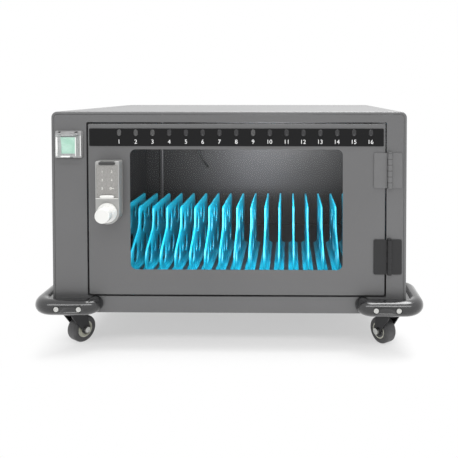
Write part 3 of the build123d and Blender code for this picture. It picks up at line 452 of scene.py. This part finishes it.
first_low, first_high = corners("divider_01")
plate_points, plate_faces = divider_plate(first_high[1] - first_low[1])
foot_section = foot_profile(first_high[0] - first_low[0])
for number in range(1, BAYS + 2):
    node = f"divider_{number:02d}"
    low, high = corners(node)
    middle = (low[0] + high[0]) / 2
    mesh = bpy.data.meshes.new(node + "_plate")
    placed = np.stack([middle + plate_points[:, 2], low[1] + plate_points[:, 0], low[2] + plate_points[:, 1]], 1)
    mesh.from_pydata(placed.tolist(), [], plate_faces)
    plate = piece(node + "_plate", mesh, blue, smooth=40.0)
    flat_sides = plate.modifiers.new("flat_sides", "WEIGHTED_NORMAL")
    flat_sides.mode, flat_sides.weight, flat_sides.keep_sharp = "FACE_AREA", 100, True
    foot_ends = ((low[1], FOOT_END_SHARE), (low[1] + RIM_R, 1.0), (high[1] - RIM_R, 1.0), (high[1], FOOT_END_SHARE))
    rings = [np.stack([middle + foot_section[:, 0] * share, np.full(len(foot_section), y),
                       low[2] + foot_section[:, 1] * share], 1) for y, share in foot_ends]
    foot = skin(node + "_foot", np.array(rings), blue, smooth=50.0)
    for made in (plate, foot):
        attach(made, "cabinet")
        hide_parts(node)

# Combination lock: a chromed die-cast case with a satin keypad panel let in, and a white turned knob with stepped
# rings. Five printed figures and a key mark label the touch keys.
KNOB_WHITE, LOCK_SILVER, SATIN = (0.74, 0.74, 0.72), (0.36, 0.36, 0.352), (0.3, 0.294, 0.282)
lock_white = Finish("lock_white", KNOB_WHITE, 0.34, 0.1, Coat_Weight=0.4)
lock_white.mottle(lock_white.noise(12.0), shade(KNOB_WHITE, 0.94), shade(KNOB_WHITE, 1.04))
lock_silver = Finish("lock_silver", LOCK_SILVER, 0.34, 0.35, Coat_Weight=0.3)
lock_silver.mottle(lock_silver.noise(12.0), shade(LOCK_SILVER, 0.94), shade(LOCK_SILVER, 1.06))
for finish in (lock_white, lock_silver):
    finish.rub(finish.noise(60.0, detail=1.0), 0.3, 0.38)
cover(["lock_housing"], lock_silver)
keypad_satin = Finish("keypad_satin", SATIN, 0.42, 0.3)
grain = keypad_satin.noise(1100.0)
keypad_satin.mottle(grain, shade(SATIN, 0.8), shade(SATIN, 1.2), 0.35, 0.65)
keypad_satin.rub(grain, 0.34, 0.5)
keypad_satin.bump(grain, 0.00004)
cover(["lock_keypad"], keypad_satin)


def lathe(name, profile, centre, axis, finish, count=64, smooth=25.0):
    """A turned piece: each profile point (radius, along) is swept round the axis; a radius of 0 closes an end."""
    axis = np.array(axis, float)
    side = np.cross(axis, (0, 0, 1.0)) if abs(axis[2]) < 0.9 else np.array([1.0, 0, 0])
    side /= np.linalg.norm(side)
    other = np.cross(axis, side)
    turn = np.arange(count) / count * tau
    ring = np.cos(turn)[:, None] * side + np.sin(turn)[:, None] * other
    profile = np.array(profile, float)
    grid = np.array(centre) + profile[:, 1, None, None] * axis + profile[:, 0, None, None] * ring[None]
    return skin(name, grid, finish, smooth)


KNOB_STEPS = ((18.0, 4.0), (16.6, 3.0), (15.2, 2.5))
GRIP_EDGE = ((0.0, 1.4), (0.4, 0.5), (1.4, 0.0), (3.2, 0.25))
GRIP_R, GRIP_DISH, SPINDLE_R = 13.5 * MM, 0.3 * MM, 5 * MM
STEP_EDGE, EDGE_BULGE = 0.7 * MM, 0.3
KNOB_SINK = 1.3 * MM
lock_low, lock_high = corners("lock_housing")
knob_low, knob_high = corners("lock_knob")
knob_centre = (knob_low + knob_high) / 2
y = lock_low[1] + KNOB_SINK
outline = [(0, knob_high[1]), (SPINDLE_R, knob_high[1]), (SPINDLE_R, y)]
for radius, step in KNOB_STEPS:
    radius, front = radius * MM, y - step * MM
    outline += [(radius, y), (radius, front + STEP_EDGE),
                (radius - EDGE_BULGE * STEP_EDGE, front + EDGE_BULGE * STEP_EDGE), (radius - STEP_EDGE, front)]
    y = front
outline += [(GRIP_R, y)] + [(GRIP_R - inset * MM, knob_low[1] + back * MM) for inset, back in GRIP_EDGE]
outline.append((0, knob_low[1] + GRIP_DISH))
knob = lathe("lock_knob_turned", outline, (knob_centre[0], 0, knob_centre[2]), (0, 1, 0), lock_white)
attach(knob, "lock_spindle")
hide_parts("lock_knob")

slot_black = Finish("slot_black", grey(0.03), 0.3, 0.0, Coat_Weight=0.3)
slot_black.rub(slot_black.noise(300.0), 0.25, 0.4)
# Each trim: name, distance below the top, half width, half height, power of its corners, steps, finish.
LOCK_TRIM = (
    ("lock_slot", 4.0, 15.0, 2.8, 6.0, ((0, -0.2), (0, 0.2), (0.3, 0.35)), slot_black),
    ("lock_bar", 64.6, 13.2, 2.7, 3.5, ((0, -0.2), (0, 0.9), (0.6, 1.8), (1.8, 2.3)), lock_white),
    ("lock_line", 68.0, 20.8, 0.7, 6.0, ((0, -0.2), (0, 0.6), (0.3, 0.8)), lock_white),
)
lock_x = (lock_low[0] + lock_high[0]) / 2
for name, below_top, half_width, half_height, power, steps, finish in LOCK_TRIM:
    centre = (lock_x, lock_low[1], lock_high[2] - below_top * MM)
    trim = pillow(name, centre, half_width * MM, half_height * MM, steps, finish, power)
    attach(trim, "door")

KEY_COLUMNS, KEY_ROWS = (0.265, 0.71), (0.8, 0.55, 0.3)
FIGURE_H, MARK_T = 4.4 * MM, 0.06 * MM
BOW_R, BOW_HOLE_R, BOW_LEFT = 2.1 * MM, 1.1 * MM, 1.8 * MM
STEM_START, STEM_END, STEM_HALF = 0.2 * MM, 4.2 * MM, 0.45 * MM
key_print = Finish("key_print", (0.85, 0.84, 0.8), 0.4)
key_print.mottle(key_print.noise(2200.0), (0.78, 0.77, 0.73), (0.88, 0.87, 0.84))
key_low, key_high = corners("lock_keypad")


def key_place(index):
    """The middle of a touch key: columns and rows at shares of the keypad's width and height."""
    return key_low + (key_high - key_low) * np.array([KEY_COLUMNS[index % 2], 0, KEY_ROWS[index // 2]])


def printed(name, loops):
    """A thin printed mark on the keypad: each loop (across, up, thickness) is one ring of its skin."""
    rings = [np.stack([across, np.full(len(across), key_low[1] - thick), up], 1) for across, up, thick in loops]
    return skin(name, np.array(rings), key_print, smooth=30.0)


for index, figure in enumerate("12345"):
    place = key_place(index) - (0, PRINT_LIFT, 0)
    number = lettering(f"key_{figure}", figure, FIGURE_H, place, key_print)
place = key_place(5)
bow_x, bow_z = superoval(RIM_POINTS, 1.0, 1.0)
bow_loops = [(place[0] - BOW_LEFT + radius * bow_x, place[2] + radius * bow_z, thick)
             for radius, thick in ((BOW_R, 0), (BOW_R, MARK_T), (BOW_HOLE_R, MARK_T), (BOW_HOLE_R, 0))]
stem_x = place[0] + np.array([STEM_START, STEM_END, STEM_END, STEM_START])
stem_z = place[2] + np.array([-STEM_HALF, -STEM_HALF, STEM_HALF, STEM_HALF])
stem_loops = [(stem_x, stem_z, thick) for thick in (0, MARK_T)]
for made in (printed("key_mark_bow", bow_loops), printed("key_mark_stem", stem_loops)):
    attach(made, "door")

# Bright zinc-plated steel: the lock's cam, the castors' axle bolts and the screws. Turned or cold-headed, with
# small scuffs in the plating.
CASTORS = ("front_left", "front_right", "rear_left", "rear_right")
zinc = Finish("zinc_steel", (0.62, 0.62, 0.6), 0.28, 0.9)
scuff = zinc.noise(260.0, detail=4.0)
zinc.mottle(scuff, (0.5, 0.51, 0.5), (0.72, 0.72, 0.69))
zinc.rub(scuff, 0.2, 0.38)
cover(["lock_cam", "panel_screws", "bumper_screws"] + [f"castor_axle_{name}" for name in CASTORS], zinc)

# Butt hinges: pressed steel leaves rolled round a steel pin, with black rings painted as shadow in the gaps between
# the knuckles. The upper pair is coated with the case; the lower pair is the same, coloured darker as a painted
# reflection.
HINGE_PALE, HINGE_REFLECTION_DARK = (0.15, 0.15, 0.152), (0.018, 0.018, 0.019)
KNUCKLES, LEAF_H = 6, 65 * MM
GAP_OUT_R, GAP_IN_R, GAP_HALF = 4.48 * MM, 3.9 * MM, 0.4 * MM
GAP_RING = ((GAP_IN_R, -GAP_HALF), (GAP_OUT_R, -GAP_HALF), (GAP_OUT_R, GAP_HALF), (GAP_IN_R, GAP_HALF),
            (GAP_IN_R, -GAP_HALF))
leaves_low, leaves_high = corners("door_hinge_leaves")
hinge_coat = Finish("hinge_coat", HINGE_PALE, 0.38, 0.3, Coat_Weight=0.2, Coat_Roughness=0.3)
# Below the middle height the colour is the painted reflection: one coat, darkened on the lower hinge.
upper = hinge_coat.here(2) > (leaves_low[2] + leaves_high[2]) / 2
hinge_coat.feed("Base Color", hinge_coat.ramp(
    upper * 0.8 + hinge_coat.noise(60.0) * 0.2,
    (0.0, shade(HINGE_REFLECTION_DARK, 0.9)), (0.2, shade(HINGE_REFLECTION_DARK, 1.1)),
    (0.8, shade(HINGE_PALE, 0.9)), (1.0, shade(HINGE_PALE, 1.1)),
))
hinge_coat.rub(hinge_coat.noise(SHEEN), 0.33, 0.44)
hinge_coat.bump(hinge_coat.noise(PEEL, detail=2.0), 0.00005)
cover(["door_hinge_leaves", "frame_hinge_leaves", "hinge_pins"], hinge_coat)

# Black rings painted as shadow in the gaps between the knuckles.
gap_shade = Finish("knuckle_gap", grey(0.01), 0.6)
gap_shade.rub(gap_shade.noise(300.0), 0.5, 0.7)
pin_low, pin_high = corners("hinge_pins")
pin_x, pin_y, _ = (pin_low + pin_high) / 2
for hinge, foot in (("lower", leaves_low[2]), ("upper", leaves_high[2] - LEAF_H)):
    for gap in range(1, KNUCKLES):
        centre = (pin_x, pin_y, foot + gap * LEAF_H / KNUCKLES)
        ring = lathe(f"knuckle_gap_{hinge}_{gap}", GAP_RING, centre, (0, 0, 1), gap_shade, count=24)
        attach(ring, "cabinet")

# Power switch: a moulded body in the stile, a lit green rocker and a clear splash cover that flips up on two pins.
# White strips run down the cover's two sides and the bezel's right side. A dark line along the bezel's right edge
# is painted shadow, and dark marks show the bezel's lower edge, screws and catches.
GREEN = (0.36, 0.66, 0.5)
BEZEL_T = 4 * MM
switch_body = Finish("switch_body", grey(0.34), 0.32, 0.0, Coat_Weight=0.3)
switch_body.mottle(switch_body.noise(60.0), grey(0.29), grey(0.38))
cover(["switch_housing"], switch_body)
rocker_lit = Finish("rocker_lit", GREEN, 0.22, 0.0, Coat_Weight=0.5, Emission_Strength=0.25)
glow = rocker_lit.noise(55.0, detail=1.0)
rocker_lit.mottle(glow, (0.3, 0.62, 0.46), (0.46, 0.76, 0.62), 0.35, 0.65)
rocker_lit.feed("Emission Color", rocker_lit.ramp(glow, (0.3, (0.12, 0.4, 0.26)), (0.7, (0.25, 0.55, 0.4))))
cover(["switch_rocker"], rocker_lit)
cover_clear = Finish("cover_clear", (0.55, 0.57, 0.57), 0.12, 0.0, Alpha=0.16)
cover_clear.rub(cover_clear.noise(50.0), 0.08, 0.2)
cover(["switch_cover"], cover_clear)
rib_white = Finish("rib_white", (0.8, 0.8, 0.79), 0.3, 0.0, Coat_Weight=0.3)
rib_white.mottle(rib_white.noise(90.0), (0.7, 0.7, 0.69), (0.84, 0.84, 0.83))

FLAT, ROUND = ((0, -0.2), (0, 0.2), (0.15, 0.3)), ((0, -0.2), (0, 0.6), (0.4, 0.9))
# Each trim: name, distance from the bezel's left and from its top, half width, half height, steps, finish, body.
SWITCH_TRIM = (
    ("cover_rib_left", 8.7, 28.0, 1.7, 17.5, FLAT, rib_white, "splash_cover"),
    ("cover_rib_right", 43.3, 28.0, 0.9, 17.5, FLAT, rib_white, "splash_cover"),
    ("cover_latch", 24.5, 46.0, 8.5, 1.4, ROUND, rib_white, "splash_cover"),
    ("bezel_rib_right", 46.9, 28.0, 1.0, 19.0, FLAT, rib_white, "cabinet"),
    ("bezel_hinge_screw_left", 8.5, 3.2, 2.0, 2.4, ROUND, slot_black, "cabinet"),
    ("bezel_hinge_screw_right", 40.5, 3.2, 2.0, 2.4, ROUND, slot_black, "cabinet"),
    # A dark line painted as the bezel's shadow along its right edge.
    ("bezel_edge_right", 49.4, 25.5, 0.5, 25.0, FLAT, slot_black, "cabinet"),
    ("bezel_edge_lower", 25.0, 50.4, 24.5, 0.5, FLAT, slot_black, "cabinet"),
    ("bezel_catch_left", 17.0, 49.2, 2.4, 0.8, FLAT, slot_black, "cabinet"),
    ("bezel_catch_right", 30.5, 49.2, 2.4, 0.8, FLAT, slot_black, "cabinet"),
)
bezel_low, bezel_high = corners("switch_housing")
cover_face = corners("switch_cover")[0][1]
for name, across, down, half_width, half_height, steps, finish, body in SWITCH_TRIM:
    face = cover_face if body == "splash_cover" else case_low[1] - BEZEL_T
    centre = (bezel_low[0] + across * MM, face, bezel_high[2] - down * MM)
    trim = pillow(name, centre, half_width * MM, half_height * MM, steps, finish, 6.0)
    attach(trim, body)
    "cover_clear" if body == "splash_cover" else "switch_black"

# Corner bumpers: glossy black moulded tubes bent round the case's lower corners, with a web to the case, and sunk
# holes for two screws through each front and rear arm.
ARM, CORNER_R, END_R, FACE_GAP = 80.5 * MM, 26 * MM, 16 * MM, 0.4 * MM
WEB_LOW, WEB_HIGH = 1.5 * MM, 9.5 * MM
SINK_R, SINK_DEPTH, CUTTER_OUT = 5.8 * MM, 3.4 * MM, 10 * MM
SCREW_PLACES = (19 * MM, 60 * MM)
TUBE_POINTS = 32
gloss_black = Finish("bumper_gloss", (0.012, 0.012, 0.013), 0.2, 0.0, Coat_Weight=0.8, Coat_Roughness=0.16)
gloss_black.rub(gloss_black.noise(260.0), 0.17, 0.26)
gloss_black.bump(gloss_black.noise(45.0, detail=2.0), 0.0003)
# A blacker, matt finish for the sunk holes' walls: painted shade in the recesses.
sink_black = Finish("sink_black", grey(0.006), 0.5)
sink_black.rub(sink_black.noise(300.0), 0.4, 0.6)

bumper_low, bumper_high = corners("corner_bumpers")
tube_r = (bumper_high[2] - bumper_low[2]) / 2
tube_z = (bumper_high[2] + bumper_low[2]) / 2
stand_off = case_low[0] - bumper_low[0] - tube_r


def arc(centre, radius, start, end, count=10):
    """Points of an arc in plan, between two directions in degrees."""
    turn = np.radians(np.linspace(start, end, count))
    return np.array(centre) + radius * np.stack([np.cos(turn), np.sin(turn)], 1)


def bumper_path():
    """The tube's centre line round a corner at (0, 0), the case at +x, +y: bend, arm, corner, arm, bend."""
    return np.concatenate([
        [(ARM, -FACE_GAP)],
        arc((ARM - END_R, -stand_off + END_R), END_R, 0, -90),
        arc((-stand_off + CORNER_R, -stand_off + CORNER_R), CORNER_R, 270, 180, 14),
        arc((-stand_off + END_R, ARM - END_R), END_R, 180, 90),
        [(-FACE_GAP, ARM)],
    ])


def bumper(name, side, end):
    """One corner bumper: a round section carried along the path, plus its web, mirrored to its corner."""
    path = bumper_path()
    ahead = np.gradient(path, axis=0)
    ahead /= np.linalg.norm(ahead, axis=1)[:, None]
    ahead[0], ahead[-1] = (0, -1), (1, 0)
    across = np.stack([-ahead[:, 1], ahead[:, 0]], 1)
    turn = np.arange(TUBE_POINTS) / TUBE_POINTS * tau
    tube = np.empty((len(path), TUBE_POINTS, 3))
    tube[:, :, :2] = path[:, None] + tube_r * np.cos(turn)[None, :, None] * across[:, None]
    tube[:, :, 2] = tube_z + tube_r * np.sin(turn)
    web = np.empty((len(path), 4, 3))
    web[:, :2, :2], web[:, 2:, :2] = path[:, None], np.where(path < 0, -FACE_GAP, path)[:, None]
    web[:, (0, 3), 2], web[:, 1:3, 2] = tube_z + WEB_LOW, tube_z + WEB_HIGH
    corner = np.array([case_low[0] if side < 0 else case_high[0], case_low[1] if end < 0 else case_high[1], 0])
    flip = np.array([-side, -end, 1.0])
    round_part = skin(name, tube * flip + corner, gloss_black, smooth=60.0)
    web_part = skin(name + "_web", web[1:-1] * flip + corner, gloss_black)
    for part in (round_part, web_part):
        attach(part, "cabinet")
        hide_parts("corner_bumpers")
    return round_part


def sink(body, place, axis):
    """Cut a screw's sunk hole into a body: a drum on the axis, from outside it to the hole's depth."""
    drum = [(0, -CUTTER_OUT), (SINK_R, -CUTTER_OUT), (SINK_R, SINK_DEPTH), (0, SINK_DEPTH)]
    cutter = lathe("cutter", drum, place, axis, sink_black, count=TUBE_POINTS)
    cut = body.modifiers.new("sink", "BOOLEAN")
    cut.operation, cut.object, cut.solver = "DIFFERENCE", cutter, "EXACT"
    bpy.context.view_layer.objects.active = body
    bpy.ops.object.modifier_apply(modifier=cut.name)
    bpy.data.objects.remove(cutter)


for side, end, name in ((-1, -1, "front_left"), (1, -1, "front_right"), (-1, 1, "rear_left"), (1, 1, "rear_right")):
    body = bumper("corner_bumper_" + name, side, end)
    face = bumper_low[1] if end < 0 else bumper_high[1]
    for inset in SCREW_PLACES:
        x = case_low[0] + inset if side < 0 else case_high[0] - inset
        sink(body, (x, face, tube_z), (0, -end, 0))

# Castors: black pressed forks that swivel on a ball race. Each wheel is a grey rubber tread moulded on a cream
# nylon core with a hub.
TREAD_GREY, CREAM = (0.075, 0.075, 0.077), (0.62, 0.62, 0.53)
WHEEL_W, CORE_R, SHOULDER_R = 25 * MM, 15.5 * MM, 5 * MM
LIP_IN, LIP_OUT = 0.6 * MM, 0.8 * MM
# One side of the core: radius, and distance past the wheel's side, in millimetres.
CORE_SIDE = ((4.05, 1.0), (7.4, 1.0), (8.0, 0.4), (8.0, -3.0), (12.3, -3.0), (13.0, -0.5), (15.3, -0.3))
castor_black = powder_coat("castor_black", (0.022, 0.022, 0.024), 0.33, 0.5)
cover(["castor_plates"] + [f"castor_fork_{name}" for name in CASTORS], castor_black)
tread_rubber = Finish("tread_rubber", TREAD_GREY, 0.42)
wear = tread_rubber.noise(90.0, detail=4.0)
tread_rubber.mottle(wear, shade(TREAD_GREY, 0.82), shade(TREAD_GREY, 1.15))
tread_rubber.rub(wear, 0.36, 0.52)
core_nylon = Finish("core_nylon", CREAM, 0.4)
core_nylon.mottle(core_nylon.noise(70.0), shade(CREAM, 0.88), shade(CREAM, 1.06))


def both_sides(half):
    """A closed wheel profile (radius, along) from its half on one side, mirrored to the other."""
    return np.concatenate([half, half[::-1] * (1, -1), half[:1]])


joints = {joint["name"]: joint for joint in frame["joints"]}
for name in CASTORS:
    joint = joints[f"roll_{name}"]
    centre, axis = joint["pos_m"], np.array(joint["axis"]) / np.linalg.norm(joint["axis"])
    low, high = corners(f"castor_wheel_{name}")
    radius, half = (high[2] - low[2]) / 2, WHEEL_W / 2
    turn = np.linspace(0, pi / 2, 8)
    shoulder = np.array([radius, half]) - SHOULDER_R + SHOULDER_R * np.stack([np.sin(turn), np.cos(turn)], 1)
    tread_half = np.concatenate([[(CORE_R, half - LIP_IN), (CORE_R + LIP_OUT, half)], shoulder, [(radius, 0.0)]])
    core_half = np.array(CORE_SIDE) * MM + (0, half)
    tread = lathe(f"castor_tread_{name}", both_sides(tread_half), centre, axis, tread_rubber, count=72, smooth=40.0)
    core = lathe(f"castor_core_{name}", both_sides(core_half), centre, axis, core_nylon, count=56, smooth=30.0)
    for made in (tread, core):
        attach(made, f"wheel_{name}")
        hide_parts(f"castor_wheel_{name}")

# Electrical pieces: a moulded charging unit on the floor of the switch compartment, the appliance inlet behind, and
# a thin lead that hangs between a grommet and the roof.
unit_grey = Finish("charger_case", grey(0.42), 0.45)
unit_grey.mottle(unit_grey.noise(30.0), grey(0.38), grey(0.46))
unit_grey.bump(unit_grey.noise(900.0), 0.00004)
cover(["charging_unit"], unit_grey)
inlet_black = Finish("inlet_black", (0.02, 0.02, 0.021), 0.4)
inlet_black.rub(inlet_black.noise(200.0), 0.34, 0.48)
inlet_black.bump(inlet_black.noise(1100.0), 0.00003)
cover(["power_inlet"], inlet_black)
lead_black = Finish("lead_black", grey(0.008), 0.45)
lead_black.rub(lead_black.noise(400.0), 0.38, 0.52)
cover(["inner_lead"], lead_black)

# Camera at the photograph's angle: in front of the door, right of its middle and a little above the lid. Its shift
# puts the object where the photograph's frame has it.
CAMERA_X, CAMERA_Z, CAMERA_DISTANCE = 0.1138, 0.4908, 1.021
FOCAL_PX, FRAME_PX, SENSOR_MM = 552.9, 458, 36.0
CENTRE_PX = np.array([283.1, 105.2])
PITCH, YAW = radians(1.5), radians(0.7)
front_y = case_low[1]
camera_data = bpy.data.cameras.new("camera")
camera_data.sensor_width = SENSOR_MM
camera_data.lens = FOCAL_PX / FRAME_PX * SENSOR_MM
camera_data.shift_x, camera_data.shift_y = (FRAME_PX / 2 - CENTRE_PX) / FRAME_PX * (1, -1)
camera = bpy.data.objects.new("camera", camera_data)
camera.location = (CAMERA_X, front_y - CAMERA_DISTANCE, CAMERA_Z)
camera.rotation_euler = (pi / 2 - PITCH, 0, YAW)
bpy.context.scene.collection.objects.link(camera)
bpy.context.scene.camera = camera
bpy.context.scene.view_settings.view_transform = "Standard"

# Studio: a pale floor that fades to plain white away from the shadow, and a world that is white where the camera,
# glass or gloss sees it. Under the cabinet the floor keeps a share of plain white, painted light that lightens the
# shadow. Two soft lamps light the cabinet and two small ones the bay behind the window.
FLOOR_HALF, FLOOR_PALE = 6.0, 0.86
FADE_START, FADE_END = -0.06, 0.07
LEAST_PAINTED_WHITE = 0.5
WORLD_STRENGTH = 0.55
WHITE = (1, 1, 1, 1)


def ray(nodes, kind):
    """1 for a kind of ray, such as Camera, and 0 for the others."""
    return nodes.node("ShaderNodeLightPath", {}, {}, f"Is {kind} Ray")


floor_finish = Finish("studio_floor", grey(FLOOR_PALE), 0.9)
beside = abs(floor_finish.here(0)) - case_high[0]
before = abs(floor_finish.here(1)) - (case_high[1] - case_low[1]) / 2
# Camera, glass and gloss see at least this share of plain white even under the cabinet: painted light on its
# shadow.
painted_white_fade = floor_finish.eased(floor_finish.maths("MAXIMUM", beside, before), FADE_START, FADE_END, LEAST_PAINTED_WHITE)
seen = ray(floor_finish, "Camera") + ray(floor_finish, "Glossy") + ray(floor_finish, "Transmission")
lit_floor = Wire(floor_finish, floor_finish.shader.outputs[0])
plain_white = floor_finish.node("ShaderNodeEmission", {}, {})
floor_mix = floor_finish.node(
    "ShaderNodeMixShader", {}, {0: floor_finish.maths("MINIMUM", seen * painted_white_fade, 1.0), 1: lit_floor, 2: plain_white})
floor_finish.join(floor_finish.tree.nodes["Material Output"].inputs["Surface"], floor_mix)
floor_mesh = bpy.data.meshes.new("studio_floor")
floor_corners = np.array([(-1, -1, 0), (1, -1, 0), (1, 1, 0), (-1, 1, 0)]) * FLOOR_HALF
floor_mesh.from_pydata(floor_corners.tolist(), [], [(0, 1, 2, 3)])
floor_mesh.materials.append(floor_finish.material)
floor = bpy.data.objects.new("studio_floor", floor_mesh)
bpy.context.scene.collection.objects.link(floor)

world = bpy.data.worlds.new("studio_world")
world.use_nodes = True
bpy.context.scene.world = world
sky = Nodes(world.node_tree)
sky.tree.nodes.remove(sky.tree.nodes["Background"])
through = sky.maths("MAXIMUM", ray(sky, "Camera"), ray(sky, "Transmission"))
direct = sky.maths("MAXIMUM", through, ray(sky, "Glossy"))
ambient = sky.node("ShaderNodeBackground", {}, {"Color": WHITE, "Strength": WORLD_STRENGTH})
backdrop = sky.node("ShaderNodeBackground", {}, {"Color": WHITE})
sky_mix = sky.node("ShaderNodeMixShader", {}, {0: direct, 1: ambient, 2: backdrop})
sky.join(sky.tree.nodes["World Output"].inputs["Surface"], sky_mix)


# Each lamp: name, place, the point that it faces, width, height and power in watts.
SOFTBOXES = (
    ("top_softbox", (0.35, 0.2, 2.2), (0, 0, 0.4), 1.8, 1.8, 85.0),
    ("front_softbox", (0.1, -2.1, 2.1), (0, -0.2, 0.2), 4.6, 0.45, 39.0),
    ("bay_softbox", (0.1, front_y + 0.08, 0.37), (0.04, front_y + 0.45, 0.25), 0.26, 0.1, 1.5),
    ("window_lamp", (0.015, front_y + 0.012, 0.275), (0.015, front_y + 0.3, 0.255), 0.4, 0.2, 1.6),
)


def softbox(name, place, aim, width, height, power):
    """A rectangular area lamp at a place, turned towards a point."""
    data = bpy.data.lights.new(name, "AREA")
    data.shape, data.size, data.size_y, data.energy = "RECTANGLE", width, height, power
    lamp = bpy.data.objects.new(name, data)
    lamp.location = place
    away = np.array(place, float) - np.array(aim, float)
    yaw = np.arctan2(away[0], -away[1])
    tilt = np.arctan2(np.hypot(away[0], away[1]), away[2])
    lamp.rotation_euler = (tilt, 0, yaw)
    bpy.context.scene.collection.objects.link(lamp)


for lamp in SOFTBOXES:
    softbox(*lamp)
